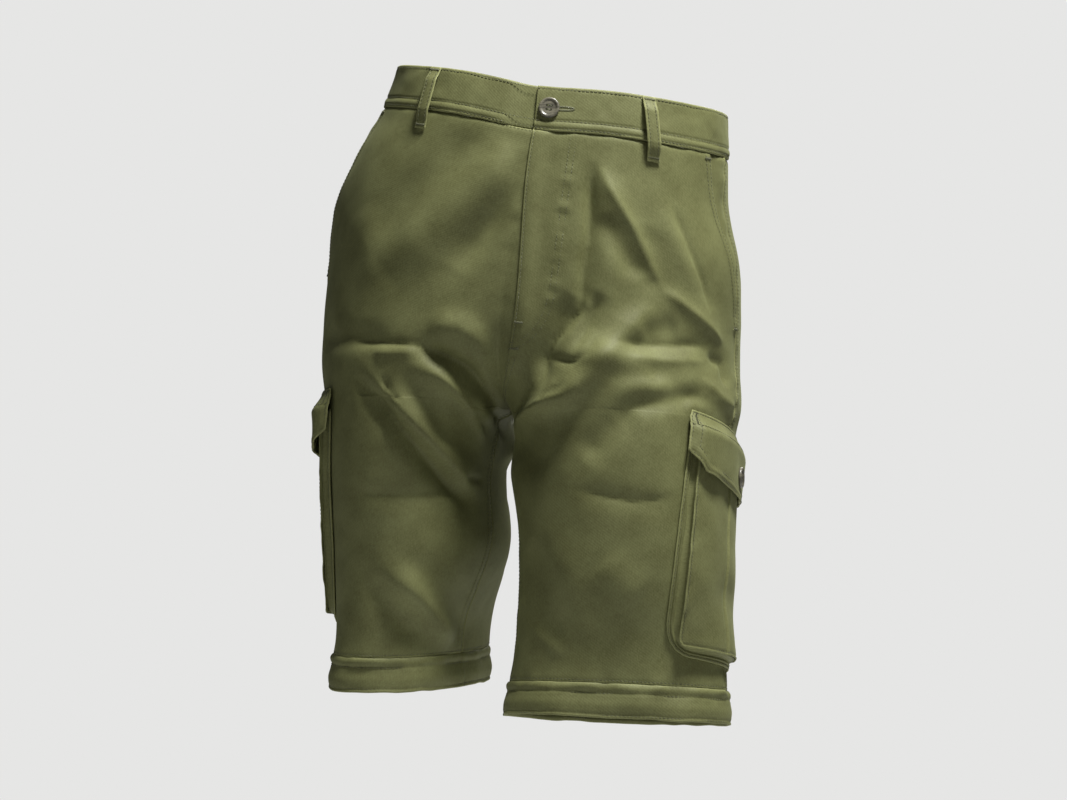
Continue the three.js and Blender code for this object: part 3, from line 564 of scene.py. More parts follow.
def mouth_shift(side, drop):
    """How far the slanted pocket edge is in front of the side seam."""
    return (girth(side, np.maximum(0, drop)) * MOUTH["share"]
            * np.clip(1 - drop / MOUTH["length"], 0, 1))


def free_of_pocket(behind, drop):
    """0 where the cargo pocket is sewn down, so that it lies on even cloth, and 1 away from it."""
    along = behind - CARGO["front"]
    down = drop - CARGO["top"] - CARGO["slope"] * along
    beside = np.maximum(np.maximum(-along, along - CARGO["width"]), 0)
    above = np.maximum(np.maximum(-down, down - CARGO["height"] - GUSSET["below"]), 0)
    return ease((np.hypot(beside, above) - 4) / 12)


def small_relief(side, s, drop):
    """Creases, seam puckers and the slight unevenness of worn cloth."""
    behind = s - seam_at(side, drop)
    full = girth(side, drop)
    out = folds_on(CREASES, side, s, drop, True) * free_of_pocket(behind, drop) * ease(drop / 22)
    out = out + folds_on(INNER, side, s, drop) - 0.9 * bell(drop, 2.5)
    out = out + 1.2 * ease((drop + 4) / 30) * noise(behind / 80, drop / 95, 7)
    out = out + uneven("leg", behind, drop)
    seam, middle, mouth = (PUCKERS[key] for key in ("side_seam", "centre", "mouth"))
    out = out + seam[0] * pucker(drop, behind, *seam[1:])
    out = out + 0.35 * pucker(s, drop, 9, 8, 2 + (side == "left"))
    out = out + middle[0] * pucker(drop, np.minimum(s, full - s), *middle[1:])
    out = out + 0.9 * pucker(s, drop - ZIP_SEAM, 11, 10, 6 + (side == "left"))
    edge = mouth[0] * pucker(drop, behind + mouth_shift(side, drop), *mouth[1:])
    return out + np.where(drop < MOUTH["length"], edge, 0)


# ---------- meshes


def spaced(length, fine=0.45, grow=1.3, coarse=3.0):
    """Places from 0 to length, close together at both ends."""
    half, step = [0.0], fine
    while half[-1] < length / 2:
        half.append(half[-1] + step)
        step = min(step * grow, coarse)
    half = np.array(half) * (length / 2 / half[-1])
    return np.concatenate([half, length - half[-2::-1]])


def make_object(name, points, groups, material, uvs=None, values=None):
    """A smooth mesh from points in millimetres and arrays of faces; values is the wear."""
    mesh = bpy.data.meshes.new(name)
    groups = [np.asarray(g) for g in (groups if isinstance(groups, list) else [groups])]
    corners = np.concatenate([g.ravel() for g in groups]).astype(np.int32)
    sizes = np.concatenate([np.full(len(g), g.shape[1]) for g in groups]).astype(np.int32)
    starts = np.concatenate([[0], np.cumsum(sizes)[:-1]]).astype(np.int32)
    mesh.vertices.add(len(points))
    mesh.vertices.foreach_set("co", (np.asarray(points) / 1000).astype(np.float32).ravel())
    mesh.loops.add(len(corners))
    mesh.loops.foreach_set("vertex_index", corners)
    mesh.polygons.add(len(sizes))
    mesh.polygons.foreach_set("loop_start", starts)
    mesh.polygons.foreach_set("loop_total", sizes)
    mesh.polygons.foreach_set("use_smooth", np.ones(len(sizes), dtype=bool))
    mesh.update(calc_edges=True)
    if uvs is not None:
        layer = mesh.uv_layers.new(name="Cloth")
        layer.data.foreach_set("uv", (uvs[corners] / 1000).astype(np.float32).ravel())
    if values is not None:
        layer = mesh.attributes.new("wear", "FLOAT", "POINT")
        layer.data.foreach_set("value", values.astype(np.float32))
    mesh.materials.append(material)
    piece = bpy.data.objects.new(name, mesh)
    bpy.context.scene.collection.objects.link(piece)
    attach(piece, "root")
    return piece


def shell(outer, inner, uvs, wear, joined=False):
    """Points, faces, UVs and wear of a closed sheet between two grids of points."""
    columns, rows = outer.shape[:2]
    count = columns * rows
    points = np.concatenate([outer.reshape(-1, 3), inner.reshape(-1, 3)])
    spans = columns if joined else columns - 1
    i, j = np.meshgrid(np.arange(spans), np.arange(rows - 1), indexing="ij")
    i, j = i.ravel(), j.ravel()
    k = (i + 1) % columns
    a, b, c, d = i * rows + j, i * rows + j + 1, k * rows + j + 1, k * rows + j
    faces = [np.stack([a, b, c, d], 1), np.stack([a, d, c, b], 1) + count]
    line = np.arange(spans)
    after = (line + 1) % columns
    for row, flip in ((0, False), (rows - 1, True)):
        p, q = line * rows + row, after * rows + row
        rim = np.stack([p, q, q + count, p + count], 1)
        faces.append(rim[:, ::-1] if flip else rim)
    if not joined:
        line = np.arange(rows - 1)
        for column, flip in ((0, True), (columns - 1, False)):
            p, q = column * rows + line, column * rows + line + 1
            rim = np.stack([p, q, q + count, p + count], 1)
            faces.append(rim[:, ::-1] if flip else rim)
    faces = np.concatenate(faces)
    middle = points.mean(axis=0)
    corners = points[faces] - middle
    volume = np.einsum("ij,ij->i", corners[:, 0],
                       np.cross(corners[:, 1], corners[:, 2])
                       + np.cross(corners[:, 2], corners[:, 3])).sum()
    if volume < 0:
        faces = faces[:, ::-1]
    uvs = uvs.reshape(-1, 2)
    wear = np.broadcast_to(wear, outer.shape[:2]).ravel()
    return points, faces, np.concatenate([uvs, uvs]), np.concatenate([wear, wear])


def cloth_piece(name, outer, inner, across, down, wear, material, joined=False):
    """One object from the two grids of a sheet; across and down are places on its flat cloth."""
    uvs = np.stack(np.broadcast_arrays(across, -down), -1)
    points, faces, uvs, wear = shell(outer, inner, uvs, np.clip(wear, 0, 1), joined)
    return make_object(name, points, faces, material, uvs, wear)


def rolled(*distances, reach=0.9):
    """1 inside a piece and 0 on its edges, for rounding them."""
    out = 1.0
    for d in distances:
        out = out * ease(np.asarray(d) / reach)
    return out


def near_edge(*distances, reach=1.3):
    """1 on the edges of a piece, dying away inside."""
    return np.clip(sum(bell(np.asarray(d), reach) for d in distances), 0, 1)


def felled(d, width=8.0, rise=0.5):
    """Rise of the cloth over the seam allowances that are stitched down beside a seam."""
    return rise * (1 - ease((d - width + 1.2) / 2.4)) * ease((d + 0.6) / 1.2)


def stitch_dip(d, *rows, depth=0.35):
    """The cloth drawn in along rows of stitching at given distances."""
    return -depth * sum(bell(d - row, 0.9) for row in rows)


def seam_rows(sizes):
    """Distances of the two rows of topstitching from a seam, in millimetres."""
    return sizes.seam_row_near * 1000, sizes.seam_row_far * 1000


# ---------- thread


def run_along(points):
    """How far along a line each of its points is."""
    return np.concatenate([[0], np.cumsum(np.linalg.norm(np.diff(points, axis=0), axis=1))])


def resample(points, normals, pitch):
    """Middles, directions and normals at even steps along a line of points."""
    length = run_along(points)
    count = int(length[-1] / pitch)
    at = (np.arange(count) + 0.5) * (length[-1] / max(count, 1))

    def read(values, where):
        return np.stack([np.interp(where, length, values[:, c]) for c in range(3)], 1)

    ahead = read(points, at + 0.3) - read(points, at - 0.3)
    ahead /= np.linalg.norm(ahead, axis=1, keepdims=True)
    n = read(normals, at)
    n -= ahead * (n * ahead).sum(1, keepdims=True)
    return read(points, at), ahead, n / np.linalg.norm(n, axis=1, keepdims=True)


def stitches(middles, ahead, normals, length, radius):
    """Points of short rounded threads, 25 each, with both ends dipping into the cloth."""
    along = np.array([-0.5, -0.36, 0.0, 0.36, 0.5]) * length
    thick = np.array([0.5, 0.95, 1.0, 0.95, 0.5]) * radius
    rise = np.array([-0.9, 0.1, 0.45, 0.1, -0.9]) * radius
    angle = np.arange(5) * 2 * math.pi / 5
    side = np.cross(ahead, normals)
    lift = rise[:, None] + thick[:, None] * np.sin(angle)
    reach = thick[:, None] * np.cos(angle)
    return (middles[:, None, None] + along[:, None, None] * ahead[:, None, None]
            + lift[..., None] * normals[:, None, None]
            + reach[..., None] * side[:, None, None]).reshape(-1, 3)


def sewn(name, threads, material):
    """One object holding every thread: a list of point arrays from stitches()."""
    points = np.concatenate([t for t in threads if len(t)])
    start = np.arange(len(points) // 25)[:, None, None] * 25
    i, j = (v.ravel() for v in np.meshgrid(np.arange(4), np.arange(5), indexing="ij"))
    k = (j + 1) % 5
    sides = np.stack([i * 5 + j, i * 5 + k, (i + 1) * 5 + k, (i + 1) * 5 + j], 1)
    ends = np.array([[4, 3, 2, 1, 0], [20, 21, 22, 23, 24]])
    return make_object(name, points, [(sides + start).reshape(-1, 4),
                                      (ends + start).reshape(-1, 5)], material)


def row_of(points, normals, sizes):
    """A row of topstitching along a line of points."""
    m, a, n = resample(points, normals, sizes.stitch_pitch * 1000)
    pitch, thread = sizes.stitch_pitch * 1000, sizes.thread * 1000
    return stitches(m, a, n, pitch * sizes.stitch_share, thread / 2)


def row_on(side, s, drop, height, sizes, relief=False):
    """A row of topstitching along a line on the cloth."""
    return row_of(*line_on(side, s, drop, height, relief), sizes)


def bartack(points, normals, sizes, width=2.2):
    """A dense bar of thread laid across a short line of points."""
    m, a, n = resample(points, normals, sizes.thread * 1000 * 1.15)
    across = np.cross(a, n)
    slant = across + 0.25 * a * np.where(np.arange(len(m)) % 2, 1, -1)[:, None]
    slant /= np.linalg.norm(slant, axis=1, keepdims=True)
    return stitches(m + n * 0.15, slant, n, width, sizes.thread * 1000 / 2)


# ---------- materials


def linear(colour):
    """Linear colour from an sRGB hex value such as 5f6338."""
    parts = [int(colour[k:k + 2], 16) / 255 for k in (0, 2, 4)]
    return (*((v / 12.92 if v <= 0.04045 else ((v + 0.055) / 1.055) ** 2.4) for v in parts), 1.0)


def rgba(key, share=1.0):
    """A colour setting, darker or lighter by a share, with full alpha."""
    colour = getattr(bpy.context.scene.trousers_colours, key)
    return (*(min(1.0, c * share) for c in colour), 1.0)


def add(tree, kind, inputs=None, out=0, **settings):
    """Adds a node and gives one of its sockets; inputs are values or sockets that feed them."""
    node = tree.nodes.new(kind)
    for key, value in settings.items():
        setattr(node, key, value)
    for key, value in (inputs or {}).items():
        if isinstance(value, bpy.types.NodeSocket):
            tree.links.new(value, node.inputs[key])
        else:
            node.inputs[key].default_value = value
    return node.outputs[out] if node.outputs else None


def new_material(name):
    """An empty node material and its tree."""
    material = bpy.data.materials.new(name)
    material.use_nodes = True
    material.node_tree.nodes.clear()
    return material, material.node_tree


def material_of(name):
    """Turns a function that wires a shader's inputs into one that gives the named material."""
    def wrap(wire):
        def get():
            if name not in bpy.data.materials:
                _, tree = new_material(name)
                shader = add(tree, "ShaderNodeBsdfPrincipled", wire(tree))
                add(tree, "ShaderNodeOutputMaterial", {"Surface": shader})
            return bpy.data.materials[name]
        return get
    return wrap


def cloudy(tree, place, scale, detail=2.0, **inputs):
    """Noise with about one change for each unit of place times scale."""
    return add(tree, "ShaderNodeTexNoise", {
        "Vector": place, "Scale": scale, "Detail": detail, **inputs})


def bands(tree, place, pitch, distortion, detail, detail_scale=1.0):
    """Soft bands across x at a pitch."""
    once_a_unit = 0.31416           # scale of the wave texture that has one band to a unit
    return add(tree, "ShaderNodeTexWave", {
        "Vector": place, "Scale": once_a_unit / pitch, "Distortion": distortion,
        "Detail": detail, "Detail Scale": detail_scale}, out="Fac", wave_type="BANDS",
        bands_direction="X")


def mapped(tree, place, **inputs):
    """Places turned or stretched."""
    return add(tree, "ShaderNodeMapping", {"Vector": place, **inputs})


def ranged(tree, value, low, high, to_low=0.0, to_high=1.0, **settings):
    """A value brought from one range to another and kept inside it."""
    return add(tree, "ShaderNodeMapRange", {
        "Value": value, "From Min": low, "From Max": high, "To Min": to_low,
        "To Max": to_high}, **settings)


def combined(tree, operation, *values, **settings):
    """A sum or product of values."""
    return add(tree, "ShaderNodeMath", dict(enumerate(values)), operation=operation, **settings)


def blended(tree, share, low, high):
    """A colour between two, by a share of the second."""
    return add(tree, "ShaderNodeMix", {"Factor": share, 6: low, 7: high}, out=2,
               data_type="RGBA")


def bumped(tree, height, strength, distance):
    """The normal of a slightly raised surface; distance is in metres."""
    return add(tree, "ShaderNodeBump", {
        "Height": height, "Strength": strength, "Distance": distance})


def cloth_millimetres(tree):
    """Places on the flat cloth in millimetres."""
    return mapped(tree, add(tree, "ShaderNodeUVMap", uv_map="Cloth"), Scale=(1000, 1000, 1000))


# Patterns of the twill's colour: lowest and highest value, share of the change of colour.
TWILL_PATTERNS = {"wales": (0.1, 0.9, 0.05), "yarns": (0.3, 0.7, 0.27), "nap": (0.3, 0.7, 0.22),
                  "cloud": (0.32, 0.68, 0.27)}


@material_of("washed_cotton_twill")
def cotton_twill(tree):
    """Brushed cotton twill, piece dyed: matt, faintly napped, paler where an edge is rubbed.

    The diagonal wales of a trouser twill are about 0.6 mm apart. They are drawn 2 mm apart
    because finer ones don't show at this distance.
    """
    mm = cloth_millimetres(tree)
    slanted = mapped(tree, mm, Rotation=(0, 0, math.radians(-58)))
    wale = bpy.context.scene.trousers_sizes.twill_pitch * 1000
    patterns = {
        "wales": bands(tree, slanted, wale, 1.2, 2.0, 1.4),
        "yarns": cloudy(tree, mapped(tree, mm, Scale=(0.9, 0.22, 1)), 1.0, 3.0, Roughness=0.65),
        "nap": cloudy(tree, mm, 0.55, 4.0, Roughness=0.7),
        "cloud": cloudy(tree, mm, 0.035, 3.0, Roughness=0.55),
    }
    share = None
    for key, (low, high, amount) in TWILL_PATTERNS.items():
        part = ranged(tree, patterns[key], low, high, 0.0, amount)
        share = part if share is None else combined(tree, "ADD", share, part)
    cloth = blended(tree, share, rgba("twill_dark"), rgba("twill_light"))
    wear = add(tree, "ShaderNodeAttribute", out="Fac", attribute_name="wear")
    patchy = ranged(tree, patterns["nap"], 0.35, 0.65, 0.55)
    rubbed = combined(tree, "MULTIPLY", wear, patchy, use_clamp=True)
    height = combined(tree, "MULTIPLY_ADD", patterns["wales"], 0.45, patterns["yarns"])
    height = combined(tree, "ADD", height, patterns["nap"])
    return {"Base Color": blended(tree, rubbed, cloth, rgba("twill_rubbed")),
            "Roughness": 0.62, "IOR": 1.5, "Specular IOR Level": 0.22, "Sheen Weight": 0.12,
            "Sheen Roughness": 0.45, "Sheen Tint": linear("c9cfa0"),
            "Normal": bumped(tree, height, 0.4, 0.00018)}


@material_of("spun_polyester_thread")
def sewing_thread(tree):
    """Spun polyester topstitching thread: a soft gleam and a slight change along it. Its colour is
    partly the thread's own olive and partly painted shade of the stitch rows.
    """
    change = cloudy(tree, add(tree, "ShaderNodeTexCoord", out="Object"), 260.0)
    # The base colour is darker than the thread's own olive: painted shade of the sunk stitch rows.
    return {"Base Color": blended(tree, change, rgba("thread", 0.62), rgba("thread")),
            "Roughness": 0.55, "IOR": 1.5, "Sheen Weight": 0.15}


@material_of("horn_look_polyester")
def horn_button(tree):
    """Horn-look polyester button, turned and half polished: smoky streaks, soft highlight."""
    place = add(tree, "ShaderNodeTexCoord", out="Object")
    streak = cloudy(tree, mapped(tree, place, Scale=(70, 130, 420)), 1.0, 4.0, Distortion=0.8)
    colour = blended(tree, ranged(tree, streak, 0.32, 0.68), rgba("button_dark"),
                     rgba("button_light"))
    fine = cloudy(tree, place, 1500.0)
    return {"Base Color": colour, "Roughness": 0.36, "IOR": 1.54, "Coat Weight": 0.2,
            "Coat Roughness": 0.25, "Normal": bumped(tree, fine, 0.25, 0.00008)}


@material_of("woven_zip_tape")
def woven_tape(tree):
    """Woven polyester zip tape: close ribs about 1 mm apart across its width."""
    ribs = bands(tree, cloth_millimetres(tree), 1.0, 0.6, 1.0)
    return {"Base Color": blended(tree, ribs, rgba("tape"), rgba("tape", 1.6)),
            "Roughness": 0.7, "IOR": 1.5, "Normal": bumped(tree, ribs, 0.5, 0.0002)}


@material_of("moulded_acetal_teeth")
def zip_plastic(tree):
    """Moulded acetal zip teeth: smooth, a little shiny, faintly cloudy."""
    cloud = cloudy(tree, add(tree, "ShaderNodeTexCoord", out="Object"), 90.0)
    return {"Base Color": blended(tree, cloud, rgba("tape"), rgba("tape", 2.0)),
            "Roughness": 0.38, "IOR": 1.48}


# ---------- settings


def length(name, description, default):
    """A setting in metres, shown in the scene's units."""
    return bpy.props.FloatProperty(
        name=name, description=description, default=default, unit="LENGTH", precision=5)


def colour(name, description, default):
    """A colour setting from an sRGB hex value."""
    return bpy.props.FloatVectorProperty(
        name=name, description=description, default=linear(default)[:3], subtype="COLOR",
        min=0, max=1)


class TrousersSizes(bpy.types.PropertyGroup):
    stitch_pitch: length("Stitch Pitch", "Length of one topstitch with its gap", 0.0034)
    stitch_share: bpy.props.FloatProperty(
        name="Stitch Share", description="Share of the pitch where the thread lies on top",
        default=0.76, subtype="FACTOR", min=0.3, max=1.0)
    thread: length("Thread", "Width of the topstitching thread", 0.00055)
    twill_pitch: length("Twill Pitch", "Distance between the drawn diagonal wales", 0.002)
    seam_row_near: length("Edge Stitching", "First row of topstitching from a seam", 0.0018)
    seam_row_far: length("Second Row", "Second row of topstitching from a seam", 0.0072)
    button_width: length("Button Width", "Across a button", 0.018)
    tooth_pitch: length("Zip Tooth Pitch", "Distance between zip teeth", 0.0025)


class TrousersColours(bpy.types.PropertyGroup):
    twill_dark: colour("Twill Hollows", "Cloth between the wales", "52522e")
    twill_light: colour("Twill Wales", "Cloth on the wales", "828559")
    twill_rubbed: colour("Rubbed Edges", "Cloth worn pale on edges and seams", "9b9d6a")
    # Thread colour: partly the thread's own olive, and partly painted shade, darkened to stand in
    # for the shade in the sunk rows of stitching.
    thread: colour("Thread", "Topstitching thread", "5c5e39")
    button_dark: colour("Horn Dark", "Dark streaks of the buttons", "3d3b31")
    button_light: colour("Horn Light", "Light streaks of the buttons", "787462")
    tape: colour("Zip Tape", "Tape and teeth of the zips", "333621")
    backdrop: colour("Backdrop", "Pale studio surround", "e6e6e5")


# ---------- panels


def layers(side, s, drop, outer, inner, relief=True):
    """Outer and inner points at two heights over the worn form."""
    form = by_half(fold_form, side, s, drop)
    if relief:
        form = form + by_half(small_relief, side, s, drop)
    at, n = base(side, s, drop), normal(side, s, drop)
    return at + n * (outer + form)[..., None], at + n * (inner + form)[..., None]


def line_on(side, s, drop, height, relief=True):
    """Points and normals along a line on the cloth."""
    s, drop, height = together(s, drop, height)
    points, below = layers(side, s, drop, height, height - 1.0, relief)
    return points, points - below


def centre_place(edge, even, inner, f):
    """Column between a centre edge and an inner column; near the edge it keeps to it."""
    kept = 0.23
    last = mix(even, inner, kept)
    return np.where(f < kept, mix(edge, last, f / kept), mix(even, inner, f))


def fly_share(side, drop, start):
    """1 where the left half laps over the fly, and 0 below it and on the other half."""
    return (1 - ease((drop - start) / FLY["runout"])) if side == "left" else 0.0 * drop


def fly_line(drop):
    """Where the worn fly edge hangs: it swings to the left half and comes back below."""
    return (mix(FLY["top"], FLY["swing"], ease((drop - 10) / 170))
            * (1 - ease((drop - FLY["length"] - 10) / 45)))


def ahead_of_seam(side, behind, drop):
    """s of a place near the side seam once the slanted pocket edge has moved it forward."""
    pull = 1 + mouth_shift(side, drop) / FRONT_FIRST
    return seam_at(side, drop) + FRONT_FIRST + (behind - FRONT_FIRST) * pull


def front_edges(side, drop):
    """s of the front panel's edge at the centre and of its edge at the pocket or side seam."""
    line = fly_line(drop)
    start = np.where(side == "left", line, -line)
    start = start - (side == "right") * FLY["under"] * (1 - ease((drop - FLY["length"]) / 8))
    return start, ahead_of_seam(side, 0.0, drop)


def front_grid(side, across, drop):
    """s of the front's columns; across runs from 0 to 2 and is 1 at the pocket's column."""
    seam = seam_at(side, drop)
    start, _ = front_edges(side, drop)
    even = seam - even_girth(side, drop) * SIDE_SEAM + start
    centre = centre_place(start, even, seam + FRONT_FIRST, np.clip(across, 0, 1))
    behind = mix(FRONT_FIRST, 0.0, np.clip(across - 1, 0, 1))
    return np.where(across <= 1, centre, ahead_of_seam(side, behind, drop))


def back_grid(side, across, drop):
    """s of the back's columns; across runs from 0 at the side seam to 2 at the centre."""
    seam, full = seam_at(side, drop), girth(side, drop)
    even = seam + even_girth(side, drop) * (1 - SIDE_SEAM)
    centre = centre_place(full, even, seam + BACK_LAST, np.clip(2 - across, 0, 1))
    return np.where(across <= 1, seam + BACK_LAST * np.clip(across, 0, 1), centre)


def j_line(offset=0.0, count=60):
    """The J of the fly stitching as s and drop, from the waist seam to the fly edge."""
    angle = np.linspace(0, math.pi / 2, count)
    straight = np.linspace(1.5, J_STITCH["bend"], count)
    lean = J_STITCH["lean"] * (1 - straight / J_STITCH["bend"])
    wide = J_STITCH["s"] - J_STITCH["end_s"] + offset
    s = np.concatenate([J_STITCH["s"] + offset - lean,
                        J_STITCH["end_s"] + wide * np.cos(angle)])
    bend = J_STITCH["bend"] + (J_STITCH["deep"] + offset) * np.sin(angle)
    return np.stack([s, np.concatenate([straight, bend])], 1)


def panel_rows():
    """Drops of a panel's rows of points, closer together at the crotch."""
    return np.unique(np.concatenate([spaced(ZIP_SEAM),
                                     np.arange(CROTCH - 8, CROTCH + 5, 1.0)]))


def seam_relief(away, near, far):
    """Relief of the felled and twice stitched side of a seam."""
    return felled(away, far + 1) + stitch_dip(away, near, far)


def front_height(side, s, drop, near, far):
    """Height of the front's cloth over the worn form: fly, pocket mouth and seam rows."""
    start, end = front_edges(side, drop)
    centre, outside = s - start, end - s
    height = (FLY["rise"] * fly_share(side, drop, FLY["length"] + FLY["fade"])
              * ease((FLY["fade"] + FLY["lap"] - centre) / FLY["reach"]))
    gape = np.where(drop < MOUTH["length"],
                    MOUTH["gape"] * bell(drop - MOUTH["widest"], MOUTH["spread"]), 0)
    height = height + gape * ease((s - seam_at(side, drop)) / MOUTH["ahead"] + 1)
    if side == "left":
        away, _ = along_path(j_line(), s, drop)
        between = bell(away, J_STITCH["pucker"])
        ends = ease((FLY["length"] + 4 - drop) / 8)
        rows = stitch_dip(np.abs(away), J_STITCH["half"], depth=0.45) + 0.35 * between
        ladder = 0.75 * between * noise(s / 30, drop / 4.2, 8) * ease((drop - 12) / 36)
        height = height + ends * (rows + ladder + stitch_dip(centre, FLY["row"]))
        seamed = ease((drop - FLY["length"] - 4) / 8)
    else:
        seamed = ease((drop - CROTCH) / 6)
    height = height + seamed * seam_relief(centre, near, far)
    mouth = ease((MOUTH["length"] - drop) / 6)
    height = height + mouth * (stitch_dip(outside, near, far) + 0.5 * (1 - ease(
        (outside - far) / 2)))
    return height + stitch_dip(ZIP_SEAM - drop, HEM_ROW)


def back_height(side, s, drop, near, far):
    """Height of the back's cloth: the felled side seam, and the seat seam on one half."""
    behind, centre = s - seam_at(side, drop), girth(side, drop) - s
    height = seam_relief(behind, near, far)
    if side == "left":
        seat = ease((CROTCH - 4 - drop) / 8)
        height = height + seat * seam_relief(centre, near, far)
    return height + stitch_dip(ZIP_SEAM - drop, HEM_ROW)


def panel_layers(side, s, drop, height, *edges):
    """A panel's outer and inner points, rounded outside along the edges given and its ends."""
    roll = 0.45 * CLOTH * (1 - rolled(*edges, drop, ZIP_SEAM - drop))
    return layers(side, s, drop, height - roll, height - CLOTH)


def make_front(side, sizes, material):
    """Front leg panel, with the lap of the fly on the left one."""
    near, far = seam_rows(sizes)
    outside_width = -FRONT_FIRST
    t = spaced(FRONT_WIDTH, 0.4, 1.16, 2.5)
    inside_width = FRONT_WIDTH - outside_width
    across = np.where(t <= inside_width, t / inside_width,
                      1 + (t - inside_width) / outside_width)
    drop, across = np.meshgrid(panel_rows(), across)
    s = front_grid(side, across, drop)
    start, end = front_edges(side, drop)
    centre, outside = s - start, end - s
    height = front_height(side, s, drop, near, far)
    outer, inner = panel_layers(side, s, drop, height, centre, outside)
    mouth = ease((MOUTH["length"] - drop) / 6)
    fly = near_edge(centre) * ease((FLY["length"] - drop) / 6) * (side == "left")
    wear = 0.45 * near_edge(outside) * mouth + 0.15 * fly + 0.2 * near_edge(
        centre) + 0.35 * near_edge(drop, ZIP_SEAM - drop) + 0.3 * near_edge(outside)
    piece = cloth_piece(f"cloth_front_{side}", outer, inner, s - seam_at(side, drop), drop, wear,
                        material)
    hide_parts(f"front_{side}")


def make_back(side, sizes, material):
    """Back leg panel."""
    near, far = seam_rows(sizes)
    t = spaced(BACK_WIDTH, 0.4, 1.16, 2.5)
    across = np.where(t <= BACK_LAST, t / BACK_LAST,
                      1 + (t - BACK_LAST) / (BACK_WIDTH - BACK_LAST))
    drop, across = np.meshgrid(panel_rows(), across)
    s = back_grid(side, across, drop)
    behind, centre = s - seam_at(side, drop), girth(side, drop) - s
    height = back_height(side, s, drop, near, far)
    outer, inner = panel_layers(side, s, drop, height, behind, centre)
    wear = 0.35 * near_edge(behind, centre) + 0.3 * near_edge(drop, ZIP_SEAM - drop)
    piece = cloth_piece(f"cloth_back_{side}", outer, inner, behind, drop, wear, material)
    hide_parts(f"back_{side}")


def make_pocket_side(side, material):
    """The cloth behind a hip pocket's mouth, tucked in behind the band at its top."""
    tucked = POCKET_SIDE["above"]
    rows = spaced(MOUTH["length"] + POCKET_SIDE["below"] + tucked, 0.5, 1.3, 3.0) - tucked
    across = spaced(1.0, 0.02, 1.3, 0.06)
    drop, f = np.meshgrid(rows, across)
    _, mouth = front_edges(side, drop)
    seam = seam_at(side, drop)
    tuck = mix(ahead_of_seam(side, POCKET_SIDE["ahead"], drop), mouth, MOUTH["tuck"])
    hidden = 0.3                    # share of the width that lies under the front panel
    s = np.where(f < hidden, mix(tuck, mouth, f / hidden),
                 mix(mouth, seam, (f - hidden) / (1 - hidden)))
    open_part = ease((POCKET_SIDE["flush"] - drop) / POCKET_SIDE["rising"])
    height = -(CLOTH + 0.1) * (1 - open_part * ease((f - hidden) / 0.52))
    height = mix(POCKET_SIDE["behind_band"], height, ease((drop + 0.4) / 2))
    roll = 0.4 * CLOTH * (1 - rolled(seam - s, drop + tucked))
    outer, inner = layers(side, s, drop, height - roll, height - CLOTH)
    piece = cloth_piece(f"cloth_pocket_side_{side}", outer, inner, s - seam, drop,
                        0.25 * near_edge(seam - s), material)
    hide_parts(f"pocket_side_{side}")


def seam_stitching(side, sizes, thread):
    """Topstitching of one half's panels."""
    near, far = seam_rows(sizes)
    rows = []

    def on_cloth(s, drop, lift):
        s, drop = together(s, drop)
        front = s <= seam_at(side, drop)
        height = np.where(front, front_height(side, s, drop, near, far),
                          back_height(side, s, drop, near, far))
        return line_on(side, s, drop, height + lift)

    def sew(s, drop):
        rows.append(row_of(*on_cloth(s, drop, 0.1), sizes))

    def tack(start, end, drop):
        s = np.linspace(start, end, 12)
        rows.append(bartack(*on_cloth(s, np.full(12, float(drop)), 0.3), sizes))

    down = np.arange(1.5, ZIP_SEAM - 1, 1.5)
    pocket_top = CARGO["top"] + 8
    low_edge = CARGO["top"] + CARGO["height"] + 18
    inseam = np.arange(CROTCH + 2, ZIP_SEAM - 1, 1.5)
    mouth = np.arange(2.0, MOUTH["length"] - 3, 1.5)
    for offset in (near, far):
        for part in (down[down < pocket_top], down[down > low_edge]):
            sew(seam_at(side, part) + offset, part)
        sew(offset, inseam)
        sew(front_edges(side, mouth)[1] - offset, mouth)
    if side == "left":
        fly = np.arange(1.5, FLY["length"], 1.5)
        sew(front_edges(side, fly)[0] + FLY["row"], fly)
        for offset in (-J_STITCH["half"], J_STITCH["half"]):
            sew(*j_line(offset).T)
        crutch = np.arange(FLY["length"] + 8, CROTCH - 2, 1.5)
        seat = np.arange(2.0, CROTCH - 6, 1.5)
        for offset in (near, far):
            sew(front_edges(side, crutch)[0] + offset, crutch)
            sew(girth(side, seat) - offset, seat)
        for drop in FLY["tacks"]:
            start = float(front_edges(side, np.array(float(drop)))[0])
            tack(start + 1, start + 9, drop)
    around = np.linspace(0, 1, 420, endpoint=False)
    low = ZIP_SEAM - HEM_ROW
    sew(around * girth(side, low), np.full(around.shape, low))
    for drop in (5.0, MOUTH["length"] - 5.0):
        end = float(front_edges(side, np.array(drop))[1])
        tack(end - 9, end - 0.8, drop)
    piece = sewn(f"stitching_panels_{side}", rows, thread)


# ---------- waistband and loops


def band_columns():
    """Halves of the band in order, with key columns as a fixed part and a girth share."""
    lap, shares = FLY["lap"], np.linspace(0.13, 1, 22)
    return (
        ("left", [(-lap, 0), (25, 0)] + [(0, u) for u in shares]),
        ("right", [(0, u) for u in shares[::-1]] + [(28, 0), (lap, 0)]),
        ("left", [(-lap, 0), (UNDERLAP["length"], 0)]),
    )


def band_end_shift(drop):
    """The buttoned end is pulled a little to the left half, more at its foot."""
    return 3 + 3 * (drop + BAND_HEIGHT) / BAND_HEIGHT


